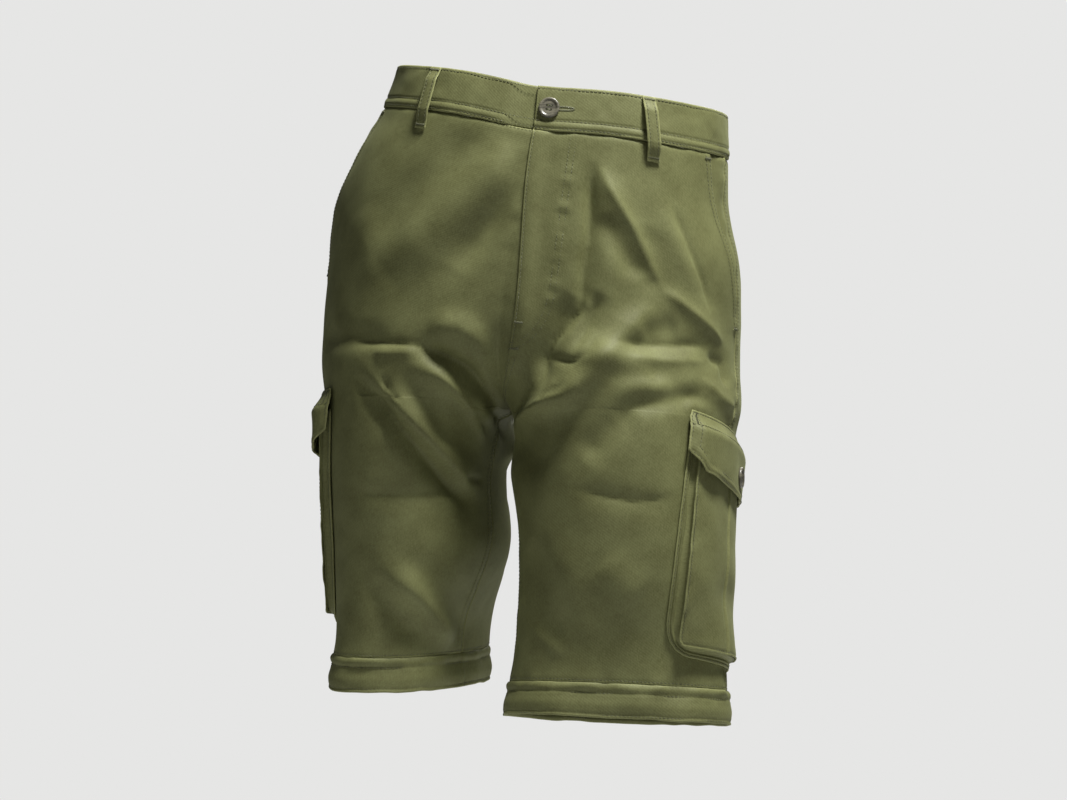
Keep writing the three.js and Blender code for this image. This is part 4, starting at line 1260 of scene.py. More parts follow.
def make_waistband(material):
    """The band runs from the buttoned end round the body and under itself at the front."""
    rows = spaced(BAND_HEIGHT, 0.4, 1.25, 1.5) - BAND_HEIGHT
    from_top, from_foot = rows + BAND_HEIGHT, -rows
    under = BAND_PROUD - BAND - UNDERLAP["clear"]
    parts, done = [], 0.0
    for number, (side, keys) in enumerate(band_columns()):
        fixed, share = np.array(keys, float).T
        place = fixed + share * girth(side, -BAND_HEIGHT / 2)
        run = np.concatenate([[0], np.cumsum(np.abs(np.diff(place)))])
        at = spaced(run[-1], 0.4, 1.25, 2.0)[(number > 0):]
        s = (np.interp(at, run, fixed)[:, None]
             + np.interp(at, run, share)[:, None] * girth(side, rows))
        drop = np.broadcast_to(rows, s.shape)
        if number == 0:
            s = s + band_end_shift(drop) * np.clip(1 - (s + FLY["lap"]) / 28, 0, 1)
        height = (np.full(s.shape, BAND_PROUD),
                  mix(under, BAND_PROUD, ease((s - 8) / UNDERLAP["step"])),
                  np.full(s.shape, under))[number]
        parts.append((side, s, drop, height, at + done))
        done += run[-1]
    outer, inner, along = [], [], np.concatenate([part[4] for part in parts])
    for side, s, drop, height, at in parts:
        run = at[:, None]
        edge = np.minimum(run, done - run)
        relief = uneven("band", run, drop)
        for key, away in (("top", from_top), ("foot", from_foot), ("end", edge)):
            relief = relief + ridges(away, BAND_RIDGES[key])
        shown = ease((done - 50 - run) / 30)
        roll = 0.42 * BAND * (1 - rolled(from_top, from_foot, edge, reach=1.3))
        under_roll = 0.42 * BAND * (1 - rolled(from_top, edge, reach=1.3))
        a, b = layers(side, s, drop, height + relief * shown - roll,
                      height - BAND + under_roll, False)
        outer.append(a)
        inner.append(b)
    outer, inner = np.concatenate(outer), np.concatenate(inner)
    edge = np.minimum(along, done - along)
    wear = 0.3 * near_edge(from_top, reach=1.4) + 0.6 * near_edge(from_foot, reach=1.7)
    wear = wear[None, :] + 0.6 * near_edge(edge)[:, None]
    piece = cloth_piece("cloth_waistband", outer, inner, along[:, None], rows, wear, material)
    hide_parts("waistband")


def make_waistband_stitching(sizes, thread):
    """Rows of topstitching round the band and down its buttoned end."""
    threads = []
    for side in SIDES:
        share = np.linspace(0.008 if side == "left" else -0.006, 1, 260)
        for drop, sunk in BAND_ROWS:
            s, drop = share * girth(side, drop), np.full(share.shape, drop)
            threads.append(row_on(side, s, drop, BAND_PROUD - sunk + 0.1, sizes))
    down = np.linspace(-BAND_HEIGHT + 2.4, -2.2, 40)
    end = band_end_shift(down) - FLY["lap"] + 2.4
    threads.append(row_on("left", end, down, BAND_PROUD - 0.1, sizes))
    piece = sewn("stitching_waistband", threads, thread)


def loop_lift(drop, bow):
    """How far a loop bows out from the band between its sewn ends."""
    return (bow * ease((drop + BAND_HEIGHT - 2) / LOOP["rise"])
            * ease((LOOP["below"] - 1.5 - drop) / LOOP["rise"]))


def make_loop(row, sizes, material):
    """One belt loop; its threads are handed back to be joined with the others'."""
    name, side, share, lean, bow = row
    rows = spaced(BAND_HEIGHT + LOOP["below"] - 0.6, 0.4, 1.25, 1.3) - BAND_HEIGHT + 0.6
    across = spaced(LOOP["width"], 0.35, 1.3, 1.2) - LOOP["width"] / 2
    drop, t = np.meshgrid(rows, across)
    run = drop + BAND_HEIGHT

    def centre(at):
        return share * girth(side, at) + lean * ((at + BAND_HEIGHT)
                                                 / (BAND_HEIGHT + LOOP["below"]))

    def seat(at):
        return np.where(at < 1, BAND_PROUD, BAND_PROUD * (1 - ease((at - 1) / 3))) + LOOP["seat"]

    edge = LOOP["width"] / 2 - np.abs(t)
    ends = np.minimum(run - 0.6, LOOP["below"] - drop)
    lift = loop_lift(drop, bow)
    height = seat(drop) + lift + LOOP["thick"]
    height = height + stitch_dip(edge, LOOP["row"], depth=0.3)
    height = height + 0.25 * noise(t / 5, run / 9, share * 9) + 0.5 * bell(ends - 3.2, 2.6)
    roll = 0.4 * LOOP["thick"] * (1 - rolled(edge, ends, reach=1.0))
    outer, inner = layers(side, centre(drop) + t, drop, height - roll,
                          height - LOOP["thick"] + roll, relief=False)
    wear = 0.7 * near_edge(edge) + 0.5 * near_edge(ends)
    piece = cloth_piece(f"cloth_{name}", outer, inner, t + 40 * share, drop, wear, material)
    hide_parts(name)
    threads = []
    down = np.linspace(-BAND_HEIGHT + 2.5, LOOP["below"] - 2, 60)
    for t0 in (-1, 1):
        s = centre(down) + t0 * (LOOP["width"] / 2 - LOOP["row"])
        height = seat(down) + loop_lift(down, bow) + LOOP["thick"] - 0.15
        threads.append(row_on(side, s, down, height, sizes))
    for at in (-BAND_HEIGHT + 3.4, LOOP["below"] - 3.2):
        s = centre(np.full(14, at)) + np.linspace(-1, 1, 14) * (LOOP["width"] / 2 - 0.8)
        lift = seat(at) + loop_lift(at, bow) + LOOP["thick"] + 0.35
        threads.append(bartack(*line_on(side, s, np.full(14, at), lift, False), sizes))
    return threads


# ---------- buttons


def button_frame(centre, outward, up):
    """Middle of a button's back, and its sideways, upward and outward directions."""
    x = np.cross(up, outward)
    x /= np.linalg.norm(x)
    return centre, x, np.cross(outward, x), outward


def waist_button_place():
    s, drop = np.array(float(WAIST_BUTTON["along"])), np.array(float(WAIST_BUTTON["drop"]))
    outward = normal("left", s, drop)
    up = base("left", s, drop - 5) - base("left", s, drop + 5)
    return button_frame(skin("left", s, drop, BAND_PROUD), outward, up)


def on_pocket(side, along, down):
    """Where a place on the cargo pocket lies on the leg: s and drop."""
    drop = CARGO["top"] + down + CARGO["slope"] * along
    return girth(side, drop) * SIDE_SEAM + CARGO["front"] + along, drop


def cargo_button_place(side):
    along, down = np.array(FLAP_WIDTH / 2), np.array(float(FLAP["button"]))
    lift = flap_height(along, down) + flap_waves(side, along, down)

    def at(a, d):
        return skin(side, *on_pocket(side, a - FLAP["over"], d), lift)

    up = at(along, down - 6) - at(along, down + 6)
    across = at(along + 6, down) - at(along - 6, down)
    outward = np.cross(across, up) * SIGN[side]
    return button_frame(at(along, down), outward / np.linalg.norm(outward), up)


def make_button(node, place, sizes, material, thread):
    """A four-hole button turned from a profile, sewn on with two parallel bars of thread across
    its holes.
    """
    radius = sizes.button_width * 1000 / 2
    thick, bevel, rim, dish, pitch, turns = BUTTON.values()
    profile = [(0, 0), (radius - bevel, 0), (radius - 0.3, 0.35), (radius, bevel),
               (radius, thick - bevel), (radius - 0.3, thick - 0.3), (radius - bevel, thick),
               (radius - rim, thick - 0.05), (radius - rim - 0.5, thick - 0.35),
               (radius - rim - bevel, thick - dish), (radius - rim - 2, thick - dish - 0.1),
               (0, thick - dish - 0.1)]
    angle = np.arange(turns) * 2 * math.pi / turns
    points = [(0, 0, profile[0][1])]
    for r, h in profile[1:-1]:
        points += [(r * math.cos(a), r * math.sin(a), h) for a in angle]
    points.append((0, 0, profile[-1][1]))
    tris, quads = [], []
    rings = len(profile) - 2
    for k in range(turns):
        n = (k + 1) % turns
        tris.append((0, 1 + n, 1 + k))
        last = 1 + (rings - 1) * turns
        tris.append((len(points) - 1, last + k, last + n))
        for r in range(rings - 1):
            a, b = 1 + r * turns, 1 + (r + 1) * turns
            quads.append((a + k, a + n, b + n, b + k))
    piece = make_object(f"button_{node}", points, [np.array(tris), np.array(quads)], material)
    for x, y in ((1, 1), (-1, 1), (-1, -1), (1, -1)):
        bpy.ops.mesh.primitive_cylinder_add(
            vertices=24, radius=0.001, depth=0.012,
            location=(x * pitch / 1000, y * pitch / 1000, 0.001))
        pin = bpy.context.active_object
        cut = piece.modifiers.new("hole", "BOOLEAN")
        cut.operation, cut.solver, cut.object = "DIFFERENCE", "EXACT", pin
        bpy.context.view_layer.objects.active = piece
        bpy.ops.object.modifier_apply(modifier=cut.name)
        bpy.data.objects.remove(pin)
    centre, x, y, z = (Vector(v) for v in place)
    basis = Matrix((x, y, z)).transposed().to_4x4()
    basis.translation = centre / 1000
    piece.data.transform(basis)
    piece.data.polygons.foreach_set("use_smooth", np.ones(len(piece.data.polygons), dtype=bool))
    piece.data.set_sharp_from_angle(angle=math.radians(40))
    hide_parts(node)
    centre, x, y, z = (np.asarray(v) for v in place)
    sewing = []
    for row in (-1, 1):
        for shift in (-0.3, 0.0, 0.3):
            mid = centre + y * (row * pitch + shift) + z * (thick - dish - 0.05)
            sewing.append(stitches(mid[None], x[None], z[None], 2 * pitch + 0.9, 0.17))
    threads = sewn(f"stitching_{node}", sewing, thread)


def make_buttonhole(thread):
    """The worked hole: close stitches round its outline, running on from the button."""
    from_button, half, wide, pitch, bite, radius = BUTTONHOLE.values()
    turn = np.linspace(0, 2 * math.pi, 240)
    bulge = np.sign(np.cos(turn)) * np.abs(np.cos(turn)) ** 0.6
    s = WAIST_BUTTON["along"] + from_button + half * bulge
    drop = WAIST_BUTTON["drop"] + wide * np.sin(turn)
    points, normals = line_on("left", s, drop, BAND_PROUD + 0.15, False)
    m, a, n = resample(points, normals, pitch)
    piece = sewn("stitching_buttonhole",
                 [stitches(m, np.cross(a, n), n, bite, radius)], thread)


# ---------- cargo pockets


def swell(along, down):
    """How far the empty pocket's front bows out."""
    return (SWELL["rise"] * np.sin(math.pi * np.clip(along / CARGO["width"], 0, 1))
            * ease((down - SWELL["start"]) / SWELL["over"]))


def settled(along, down):
    """How much flatter the pocket lies in its middle, with a dent low down."""
    share = np.clip(along / CARGO["width"], 0, 1)
    dent = (bell(along - SETTLED["along"], SETTLED["wide"])
            * bell(down - SETTLED["down"], SETTLED["tall"]))
    return (SETTLED["flatter"] * np.sin(math.pi * share) * ease((down + 20) / SETTLED["over"])
            + SETTLED["dent"] * dent)


def gusset_spread(down):
    """How far the gusset reaches in from its sewn edge, more lower down."""
    return mix(*GUSSET["spread"], ease(np.asarray(down, float) / CARGO["height"]))


def gusset_outline():
    """Sewn edge on the leg and rim of the gusset, from the mouth down, along and up."""
    width, height = CARGO["width"], CARGO["height"]
    low = height + GUSSET["below"]
    down = np.linspace(GUSSET["mouth"], height - 12, 40)
    foot = [(0.0, d) for d in down] + [(1.5, height), (10.0, low)]
    rim = [(float(gusset_spread(d)), d) for d in down]
    rim += [(float(gusset_spread(height)) + 0.5, height - 5), (16.5, height - 0.5)]
    for along in np.linspace(20, width / 2, 16):
        foot.append((along, low))
        rim.append((along, height))
    foot += [(width - a, d) for a, d in foot[-2::-1]]
    rim += [(width - a, d) for a, d in rim[-2::-1]]
    foot, rim = np.array(foot), np.array(rim)
    for _ in range(3):
        for line in (foot, rim):
            line[1:-1] = 0.5 * line[1:-1] + 0.25 * (line[:-2] + line[2:])
    return foot, rim


def thicken(grid, thick, away_from):
    """Outer and inner grids of a sheet; the outer one looks away from a point."""
    across, down = np.gradient(grid, axis=0), np.gradient(grid, axis=1)
    n = np.cross(across, down)
    n /= np.linalg.norm(n, axis=-1, keepdims=True)
    if ((grid - away_from) * n).sum() < 0:
        n = -n
    return grid + n * thick / 2, grid - n * thick / 2


def make_gusset(side, material):
    """A flat seam allowance on the leg, a folded wall, and the turned edge under the face."""
    foot, rim = gusset_outline()
    ahead = np.gradient(foot, axis=0)
    out = np.stack([ahead[:, 1], -ahead[:, 0]], 1)
    out /= np.linalg.norm(out, axis=1, keepdims=True)
    middle = np.array([CARGO["width"] / 2, CARGO["height"] / 2])
    out *= np.where(((foot - middle) * out).sum(1) < 0, -1, 1)[:, None]
    run = run_along(foot)
    # Steps across the strip: the flange runs from -1 to 0, and the wall from 0 to 1.
    steps = np.concatenate([np.linspace(-1, 0, 6), np.linspace(0, 1, 16)[1:]])
    grid = []
    wavy, frayed = 1.2 * noise(run / 26, run * 0, 3), 0.3 * noise(run / 12, run * 0, 5)
    under_face = CARGO["depth"] + swell(*rim.T) - settled(*rim.T) - 0.4
    turn = 0.45                     # step where the wall rises to the face
    for t in steps:
        if t <= 0:
            place = foot + out * ((0.6 - GUSSET["flange"] * (1 + t)) + frayed)[:, None]
            height = GUSSET["seated"] + 0.3 * math.sin(math.pi * (t + 1)) + 0 * run
        else:
            risen = (t - turn) / (1 - turn)
            bend = (1.2 + wavy) * math.sin(math.pi * t)
            tuck = 2.6 * math.sin(math.pi * max(0.0, risen))
            place = mix(foot - out * GUSSET["foot"], rim, t) + out * (
                bend * 0.8 - tuck)[:, None]
            low = GUSSET["seated"] + 1.1 * math.sin(math.pi * min(t / 0.5, 1.0))
            height = mix(low, under_face, ease(risen))
        s, drop = on_pocket(side, place[:, 0], place[:, 1])
        grid.append(skin(side, s, drop, height))
    grid, steps = np.array(grid), steps[:, None]
    outer, inner = thicken(grid, GUSSET["cloth"], grid.mean(axis=(0, 1)))
    wear = 0.6 * near_edge(steps + 1, reach=0.25) + 0.25 * near_edge(steps - 0.55, reach=0.2)
    piece = cloth_piece(f"cloth_cargo_gusset_{side}", outer, inner, run, -9 * steps, wear,
                        material)
    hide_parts(f"cargo_gusset_{side}")
    return foot, out


def face_profile(along, down):
    """Height of the pocket face: box pleat, swelling and the stitched edge."""
    half = CARGO["width"] / 2
    aside = np.abs(along - half)
    pleat = PLEAT["half"] + 2.5 * ease(down / CARGO["height"])
    pleat = pleat + 0.8 * noise(down / 30, 0 * down, 4)
    height = CARGO["depth"] + swell(along, down) - settled(along, down) + CLOTH
    height = height + PLEAT["rise"] * ease((pleat - aside) / 1.1)
    height = height - 0.5 * bell(aside - pleat - 0.9, 1.0)
    height = height + 0.9 * noise(along / 30, down / 42, 6) * np.clip(down / 60, 0, 1)
    return height + uneven("face", along, down)


def face_row(sizes):
    """Distance of the stitching from the edge of the pocket face."""
    return seam_rows(sizes)[0] + FACE["row_in"]


def make_face(side, sizes, material):
    """Pocket front with its box pleat, turned edges and turned mouth."""
    width, height, radius = CARGO["width"], CARGO["height"], FACE["corner"]
    half = width / 2
    side_part = spaced(half - PLEAT["half"] - 2, 0.35, 1.25, 2.4)
    pleat_part = spaced(2 * PLEAT["half"] + 4, 0.3, 1.3, 2.6) + side_part[-1]
    unit = np.unique(np.round(np.concatenate([side_part, pleat_part,
                                              width - side_part[::-1]]), 4)) / width
    rows = spaced(height - GUSSET["mouth"], 0.4, 1.2, 2.4) + GUSSET["mouth"]
    down, f = np.meshgrid(rows, unit)
    edge = gusset_spread(down) - FACE["inset"]
    low = np.clip((down - height + radius) / radius, 0, 1)
    corner = radius * (1 - np.sqrt(1 - low**2))
    along = mix(edge + corner, width - edge - corner, f)
    across = np.minimum(along - edge - corner, width - edge - corner - along)
    foot, mouth = height - down, down - GUSSET["mouth"]
    border = np.minimum(across, foot)
    lift = face_profile(along, down)
    lift = lift + stitch_dip(border, face_row(sizes), depth=0.5) + 0.3 * bell(border - 0.4, 1.3)
    lift = lift + 0.5 * pucker(down + along, border, 8, 6, 3)
    lift = lift + 0.3 * (1 - ease((foot - FACE["hem"]) / 2))
    lift = lift + stitch_dip(foot, FACE["hem"], depth=0.3)
    s, drop = on_pocket(side, along, down)
    roll = 0.45 * CLOTH * (1 - rolled(across, foot, mouth))
    outer, inner = layers(side, s, drop, lift - roll, lift - CLOTH + roll, relief=False)
    wear = 0.5 * near_edge(border) + 0.3 * bell(
        np.abs(along - half) - PLEAT["half"] - 1, 1.2)
    piece = cloth_piece(f"cloth_cargo_face_{side}", outer, inner, along, down, wear, material)
    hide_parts(f"cargo_face_{side}")


def flap_runs(along):
    """Depth and stretch of the two straight runs of the flap's edge, corner and middle."""
    edge = np.minimum(along, FLAP_WIDTH - along)
    runs = []
    for (a, b), (c, d) in zip(FLAP_EDGE[:-1], FLAP_EDGE[1:]):
        slope = (d - b) / (c - a)
        runs.append((b + slope * (edge - a), math.hypot(1, slope)))
    return runs


def flap_foot(along, down):
    """Distance up from the lower edge, which falls from a clipped corner to the middle."""
    return np.minimum(*((depth - down) / stretch for depth, stretch in flap_runs(along)))


def flap_depth(along, inset=0.0):
    """Depth of the flap where its lower edge is moved in by a distance."""
    return np.minimum(*(depth - inset * stretch for depth, stretch in flap_runs(along)))


def flap_height(along, down):
    """Height of the flap's cloth as it leaves the leg and lies over the pocket."""
    edge = np.minimum(along, FLAP_WIDTH - along)
    pocket = (FLAP["clear"] + CLOTH + PLEAT["rise"] + swell(along, down)
              - settled(along - FLAP["over"], down))
    sides = ease((edge + 1) / 12)
    over = mix(FLAP["edge"], pocket, sides)
    return mix(FLAP["base"], over, ease(down / FLAP["ramp"])) + FLAP["thick"]


def flap_waves(side, along, down):
    """Slow waves of the flap's cloth."""
    return 0.9 * noise(along / 21, down / 30, 2 + (side == "left")) * ease(down / 25)


def flap_outline(inset):
    """The flap's sides, clipped corners and lower edge, moved in by a distance."""
    along = np.linspace(inset, FLAP_WIDTH - inset, 150)
    low = flap_depth(along, inset)
    side = np.linspace(1.5, low[0], 24)[:-1]
    left = np.stack([0 * side + inset, side], 1)
    right = np.stack([0 * side + FLAP_WIDTH - inset, side[::-1]], 1)
    return np.concatenate([left, np.stack([along, low], 1), right])


def make_flap(side, material):
    """Flap with clipped corners, sewn down above the pocket."""
    unit = spaced(FLAP_WIDTH, 0.4, 1.2, 2.0)
    t = spaced(1.0, 0.008, 1.2, 0.035)
    share, along = np.meshgrid(t, unit)
    depth = flap_depth(along)
    down = share * depth
    edge = np.minimum(along, FLAP_WIDTH - along)
    foot = np.maximum(0, flap_foot(along, down))
    border = np.minimum(edge, foot)
    first, second = FLAP["top_rows"]
    lift = flap_height(along, down)
    lift = lift + stitch_dip(border, *FLAP["rows"], depth=0.4)
    lift = lift + 0.45 * bell(border - 4.2, 2.4)
    lift = lift + stitch_dip(down, first, depth=0.3) + stitch_dip(down, second, depth=0.5)
    lift = lift + flap_waves(side, along, down)
    lift = lift + 0.5 * pucker(along + down, border, 9, 7, 5)
    lift = lift + 1.6 * bell(foot, 7) * (0.4 + noise(along / 17, 0 * along, 9))
    s, drop = on_pocket(side, along - FLAP["over"], down)
    roll = 0.42 * FLAP["thick"] * (1 - rolled(edge, foot, down, reach=1.0))
    outer, inner = layers(side, s, drop, lift - roll, lift - FLAP["thick"] + roll, relief=False)
    wear = 0.6 * near_edge(border) + 0.4 * near_edge(down) + 0.2 * bell(down - 12, 1.2)
    piece = cloth_piece(f"cloth_cargo_flap_{side}", outer, inner, along, down, wear, material)
    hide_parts(f"cargo_flap_{side}")


def pocket_line(side, along, down, height):
    """Points and normals along a line in the pocket's own measures."""
    s, drop = on_pocket(side, np.asarray(along, float), np.asarray(down, float))
    return line_on(side, s, drop, height, False)


def make_cargo_stitching(side, foot, out, sizes, thread):
    """Rows of stitching of a cargo pocket: flange, flap and face, and the flap's bartacks."""
    threads = []

    def sew(along, down, height):
        threads.append(row_of(*pocket_line(side, along, down, height), sizes))

    place = foot - out * 0.9
    sew(place[:, 0], place[:, 1], 1.8)
    for inset in FLAP["rows"]:
        along, down = flap_outline(inset).T
        sew(along - FLAP["over"], down, flap_height(along, down) - 0.15)
    along = np.linspace(1.5, FLAP_WIDTH - 1.5, 110)
    for down in FLAP["top_rows"]:
        down = np.full(along.shape, down)
        sew(along - FLAP["over"], down, flap_height(along, down) - 0.1)
    near = face_row(sizes)
    width, height, radius = CARGO["width"], CARGO["height"], FACE["corner"]
    down = np.linspace(43, height - 8, 90)      # from under the flap to the corner
    edge = gusset_spread(down) - FACE["inset"] + near
    turn = np.linspace(0, math.pi / 2, 10)[1:-1]
    left = np.stack([edge, down], 1)
    bend = np.stack([edge[-1] + radius * (1 - np.cos(turn)),
                     height - near - radius * (1 - np.sin(turn))], 1)
    base_line = np.stack([np.linspace(edge[-1] + radius, width / 2, 40),
                          np.full(40, height - near)], 1)
    path = np.concatenate([left, bend, base_line])
    path = np.concatenate([path, np.stack([width - path[-2::-1, 0], path[-2::-1, 1]], 1)])
    sew(*path.T, face_profile(*path.T) - 0.25)
    for along in (0.0, width):
        down = np.linspace(2, 12, 14)
        along = np.full(down.shape, along)
        lift = flap_height(along + FLAP["over"], down) + 0.2
        threads.append(bartack(*pocket_line(side, along, down, lift), sizes))
    piece = sewn(f"stitching_cargo_{side}", threads, thread)


# ---------- zip-off hems


def leg_ring(side, levels, count):
    """s and drop of a ring of columns round a leg."""
    share = np.arange(count) / count
    drop, share = np.meshgrid(levels, share)
    return share * girth(side, drop), drop


def hem_sway(side, s):
    """The free lower edge hangs a little unevenly."""
    seed = 5 + (side == "left")
    close, reach = girth(side, HEM), 40

    def waves(at):
        return 1.5 * noise(at / 37, 0 * at, seed) + 0.7 * noise(at / 12, 0 * at, seed)

    return mix(waves(s), waves(s - close), ease((s - close + reach) / reach))


def make_zip_band(side, sizes, material):
    """The band below the zip-off seam; its threads are handed back."""
    levels = spaced(HEM - ZIP_SEAM, 0.35, 1.25, 1.5) + ZIP_SEAM
    s, drop = leg_ring(side, levels, 230)
    top, foot = drop - ZIP_SEAM, HEM - drop
    seed = 2 + (side == "left")
    height = ridges(top, HEM_RIDGES["top"]) + ridges(foot, HEM_RIDGES["foot"])
    height = height + (0.5 + 1.7 * noise(s / 24, drop / 28, seed)) * ease(top / 8)
    height = height + 1.1 * noise(s / 8, drop / 14, seed + 3) * bell(top, 10)
    height = np.maximum(height, -1.5)       # clear of the zip tape behind it
    sway = ease(top / 24) * hem_sway(side, s)
    s, drop = s + 0.12 * top * noise(s / 31, 0 * s, seed), drop + sway
    roll = 0.45 * CLOTH * (1 - rolled(top, foot, reach=1.0))
    outer, inner = layers(side, s, drop, height - roll, height - CLOTH + roll)
    wear = 0.4 * near_edge(top, reach=1.8) + 0.4 * near_edge(foot)
    piece = cloth_piece(f"cloth_zip_band_{side}", outer, inner, s, drop, wear, material, True)
    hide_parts(f"zip_band_{side}")
    threads = []
    share = np.linspace(0, 1, 420)
    for below in ZIP_ROWS:
        drop = np.full(share.shape, ZIP_SEAM + below)
        threads.append(row_on(side, share * girth(side, drop), drop, 0.05, sizes, True))
    return threads


def make_zip(side, sizes, tape_material, tooth_material):
    """The half of the zip that stays on the short leg: its tape, and teeth along the foot."""
    levels = np.linspace(ZIP_SEAM - TAPE["above"], ZIP_SEAM + TAPE["below"], 12)
    s, drop = leg_ring(side, levels, 200)
    outer, inner = layers(side, s, drop, -TAPE["inside"] + 0 * s,
                          -TAPE["inside"] - TAPE["thick"] + 0 * s, relief=False)
    piece = cloth_piece(f"woven_tape_{side}", outer, inner, s, drop, 0, tape_material, True)
    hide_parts(f"zip_tape_{side}")
    low = ZIP_SEAM + TAPE["below"]
    share = np.linspace(0, 1, 500)
    points, normals = line_on(side, share * girth(side, low), np.full(share.shape, low),
                              -TAPE["inside"] - TAPE["thick"] / 2, False)
    m, a, n = resample(points, normals, sizes.tooth_pitch * 1000)
    across = np.cross(a, n)
    across *= np.where(across[:, 2:3] > 0, -1, 1)
    corners = []
    for x in (-0.75, 0.75):
        for y, wide in ((-1.2, 0.62), (2.4, 0.45)):     # a tooth narrows to its tip
            for z in (-1.6, 1.6):
                corners.append(m + a * (x * (wide + 0.38)) + across * y + n * (z * wide))
    points = np.stack(corners, 1).reshape(-1, 3)
    faces = np.array([[0, 1, 3, 2], [4, 6, 7, 5], [0, 4, 5, 1], [2, 3, 7, 6], [0, 2, 6, 4],
                      [1, 5, 7, 3]])
    start = np.arange(len(m))[:, None, None] * 8
    teeth = make_object(f"zip_teeth_{side}", points, (faces + start).reshape(-1, 4),
                        tooth_material)
    teeth.data.polygons.foreach_set("use_smooth", np.zeros(len(teeth.data.polygons), dtype=bool))


# ---------- stage

# The camera: degrees round towards the wearer's left, millimetres from the waist seam's
# middle, and the focal length.
VIEW = {"around": 12, "away": 2600, "aside": -19.8, "lower": -234, "lens": 99.7}
# Square soft lights: name, side in metres, watts, metres to the right, beyond and up.
LIGHTS = (
    ("key", 0.36, 67, 0.46, -0.55, 1.42),
    ("fill", 2.4, 4, 0.3, -2.4, 0.5),
    ("back", 1.2, 34, 0.6, 1.9, 1.4),
)
LIGHTS_AIM = (0, 0, -0.25)
FLOOR = {"radius": 3.0, "height": -1.0, "clear": (1.2, 2.9)}      # it fades out at its rim


def make_stage():
    """Pale floor and surround, three soft lights, and the camera."""
    scene = bpy.context.scene
    backdrop = rgba("backdrop")
    world = bpy.data.worlds.new("studio")
    scene.world = world
    world.use_nodes = True
    tree = world.node_tree
    tree.nodes.clear()
    seen = add(tree, "ShaderNodeLightPath", out="Is Camera Ray")
    shown = add(tree, "ShaderNodeBackground", {"Color": backdrop, "Strength": 1.0})
    lights = add(tree, "ShaderNodeBackground", {"Color": backdrop, "Strength": 0.085})
    mixed = add(tree, "ShaderNodeMixShader", {0: seen, 1: lights, 2: shown})
    add(tree, "ShaderNodeOutputWorld", {"Surface": mixed})

    bpy.ops.mesh.primitive_circle_add(vertices=96, radius=FLOOR["radius"], fill_type="NGON",
                                      location=(0, 0, FLOOR["height"]))
    floor = bpy.context.active_object
    floor.name = "studio_floor"
    material, tree = new_material("studio_paper")
    place = add(tree, "ShaderNodeTexCoord", out="Object")
    reach = add(tree, "ShaderNodeVectorMath", {0: place}, out="Value", operation="LENGTH")
    fade = ranged(tree, reach, *FLOOR["clear"], interpolation_type="SMOOTHSTEP")
    paper = add(tree, "ShaderNodeBsdfPrincipled", {"Base Color": backdrop, "Roughness": 0.95})
    clear = add(tree, "ShaderNodeBsdfTransparent")
    surface = add(tree, "ShaderNodeMixShader", {0: fade, 1: paper, 2: clear})
    add(tree, "ShaderNodeOutputMaterial", {"Surface": surface})
    floor.data.materials.append(material)

    turn = math.radians(VIEW["around"])
    right = np.array([math.cos(turn), math.sin(turn), 0])
    ahead = np.array([-math.sin(turn), math.cos(turn), 0])
    up = np.array([0, 0, 1])
    for name, size, power, x, y, z in LIGHTS:
        lamp = bpy.data.lights.new(name, "AREA")
        lamp.shape, lamp.size, lamp.energy = "SQUARE", size, power
        holder = bpy.data.objects.new(name, lamp)
        scene.collection.objects.link(holder)
        spot = right * x + ahead * y + up * z
        holder.location = spot
        aim = Vector(LIGHTS_AIM) - Vector(spot)
        holder.rotation_euler = aim.to_track_quat("-Z", "Y").to_euler()

    seam_centre = posed("left", np.array(0.0), np.array(0.0), np.array(0.0)) - MIDDLE
    spot = seam_centre + right * VIEW["aside"] + up * VIEW["lower"] - ahead * VIEW["away"]
    lens = bpy.data.cameras.new("camera")
    lens.lens, lens.sensor_width, lens.clip_end = VIEW["lens"], 36, 50
    camera = bpy.data.objects.new("camera", lens)
    scene.collection.objects.link(camera)
    camera.location = spot / 1000
    camera.rotation_euler = Vector(ahead).to_track_quat("-Z", "Y").to_euler()
    scene.camera = camera
    scene.view_settings.view_transform = "Standard"


# ---------- operators


class TROUSERS_OT_waistband(bpy.types.Operator):
    """Waistband with its rows of stitching and the buttonhole"""
    bl_idname = "trousers.waistband"
    bl_label = "Build Waistband"

    def execute(self, context):
        sizes = context.scene.trousers_sizes
        make_waistband(cotton_twill())
        make_waistband_stitching(sizes, sewing_thread())
        make_buttonhole(sewing_thread())
        return {"FINISHED"}


class TROUSERS_OT_belt_loops(bpy.types.Operator):
    """Five bowed belt loops with bartacked ends"""
    bl_idname = "trousers.belt_loops"
    bl_label = "Build Belt Loops"

    def execute(self, context):
        sizes = context.scene.trousers_sizes
        threads = []
        for row in LOOPS:
            threads += make_loop(row, sizes, cotton_twill())
        sewn("stitching_loops", threads, sewing_thread())
        return {"FINISHED"}


class TROUSERS_OT_panels(bpy.types.Operator):
    """Front and back panels of both halves with their seams"""
    bl_idname = "trousers.panels"
    bl_label = "Build Panels"

    def execute(self, context):
        sizes = context.scene.trousers_sizes
        for side in SIDES:
            make_front(side, sizes, cotton_twill())
            make_back(side, sizes, cotton_twill())
            seam_stitching(side, sizes, sewing_thread())
        return {"FINISHED"}


class TROUSERS_OT_pocket_sides(bpy.types.Operator):
    """Cloth inside the slanted hip pockets"""
    bl_idname = "trousers.pocket_sides"
    bl_label = "Build Hip Pocket Sides"

    def execute(self, context):
        for side in SIDES:
            make_pocket_side(side, cotton_twill())
        return {"FINISHED"}


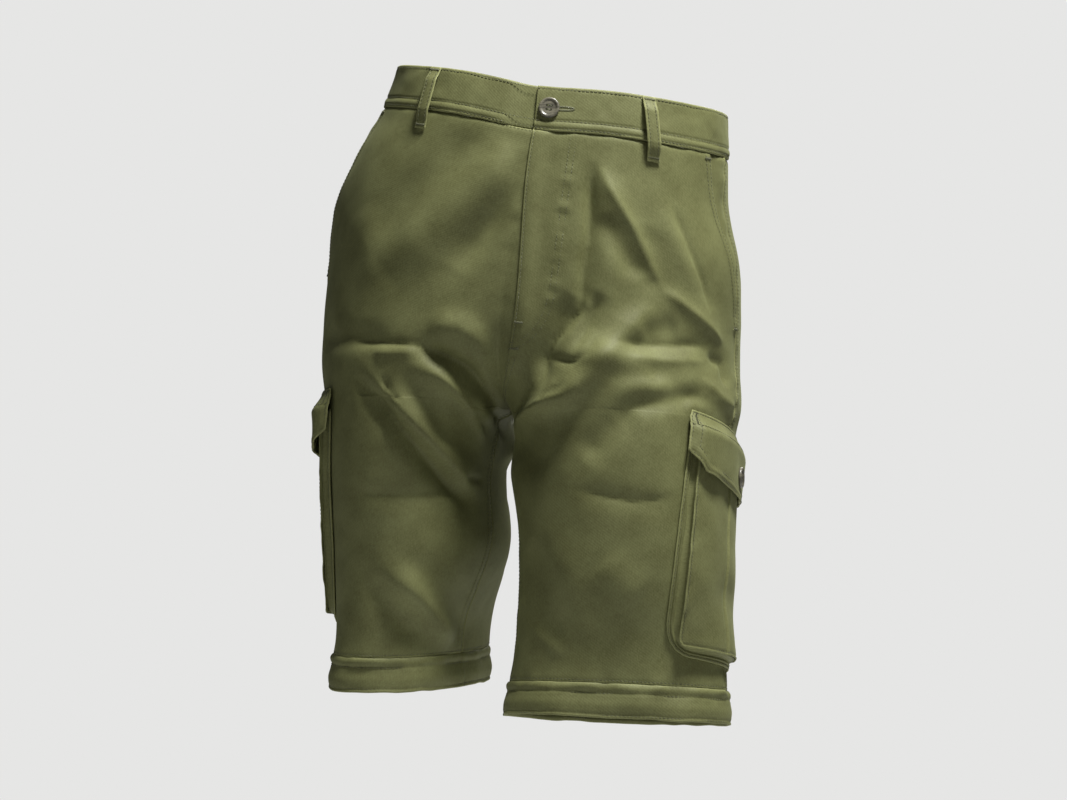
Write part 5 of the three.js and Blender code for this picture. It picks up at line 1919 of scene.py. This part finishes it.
class TROUSERS_OT_cargo_pockets(bpy.types.Operator):
    """Bellows cargo pockets: gusset, pleated face, flap and their stitching"""
    bl_idname = "trousers.cargo_pockets"
    bl_label = "Build Cargo Pockets"

    def execute(self, context):
        sizes = context.scene.trousers_sizes
        cloth = cotton_twill()
        for side in SIDES:
            foot, out = make_gusset(side, cloth)
            make_face(side, sizes, cloth)
            make_flap(side, cloth)
            make_cargo_stitching(side, foot, out, sizes, sewing_thread())
        return {"FINISHED"}


class TROUSERS_OT_buttons(bpy.types.Operator):
    """Waist and cargo flap buttons, sewn on"""
    bl_idname = "trousers.buttons"
    bl_label = "Build Buttons"

    def execute(self, context):
        sizes = context.scene.trousers_sizes
        places = {"waist_button": waist_button_place()}
        for side in SIDES:
            places[f"cargo_button_{side}"] = cargo_button_place(side)
        for node, place in places.items():
            make_button(node, place, sizes, horn_button(), sewing_thread())
        return {"FINISHED"}


class TROUSERS_OT_zip_hems(bpy.types.Operator):
    """Cloth bands, tapes and teeth left on the legs by the zipped-off lower parts"""
    bl_idname = "trousers.zip_hems"
    bl_label = "Build Zip Hems"

    def execute(self, context):
        sizes = context.scene.trousers_sizes
        threads = []
        for side in SIDES:
            threads += make_zip_band(side, sizes, cotton_twill())
            make_zip(side, sizes, woven_tape(), zip_plastic())
        sewn("stitching_zip_bands", threads, sewing_thread())
        return {"FINISHED"}


class TROUSERS_OT_stage(bpy.types.Operator):
    """Floor, surround, lights and camera"""
    bl_idname = "trousers.stage"
    bl_label = "Build Stage"

    def execute(self, context):
        make_stage()
        return {"FINISHED"}


class TROUSERS_PT_sidebar(bpy.types.Panel):
    """Sizes, colours and the pieces in building order"""
    bl_label = "Convertible Trousers"
    bl_idname = "TROUSERS_PT_sidebar"
    bl_space_type = "VIEW_3D"
    bl_region_type = "UI"
    bl_category = "Trousers"

    def draw(self, context):
        layout = self.layout
        for group in (context.scene.trousers_sizes, context.scene.trousers_colours):
            column = layout.column(align=True)
            for key in type(group).__annotations__:
                column.prop(group, key)
        column = layout.column(align=True)
        for operator in OPERATORS:
            column.operator(operator.bl_idname)


OPERATORS = (
    TROUSERS_OT_waistband,
    TROUSERS_OT_belt_loops,
    TROUSERS_OT_panels,
    TROUSERS_OT_pocket_sides,
    TROUSERS_OT_cargo_pockets,
    TROUSERS_OT_buttons,
    TROUSERS_OT_zip_hems,
    TROUSERS_OT_stage,
)
CLASSES = (TrousersSizes, TrousersColours, *OPERATORS, TROUSERS_PT_sidebar)


def register():
    for item in CLASSES:
        bpy.utils.register_class(item)
    bpy.types.Scene.trousers_sizes = bpy.props.PointerProperty(type=TrousersSizes)
    bpy.types.Scene.trousers_colours = bpy.props.PointerProperty(type=TrousersColours)


def unregister():
    del bpy.types.Scene.trousers_colours
    del bpy.types.Scene.trousers_sizes
    for item in reversed(CLASSES):
        bpy.utils.unregister_class(item)


def main():
    register()
    for operator in OPERATORS:
        group, name = operator.bl_idname.split(".")
        getattr(getattr(bpy.ops, group), name)()


if __name__ == "__main__":
    main()
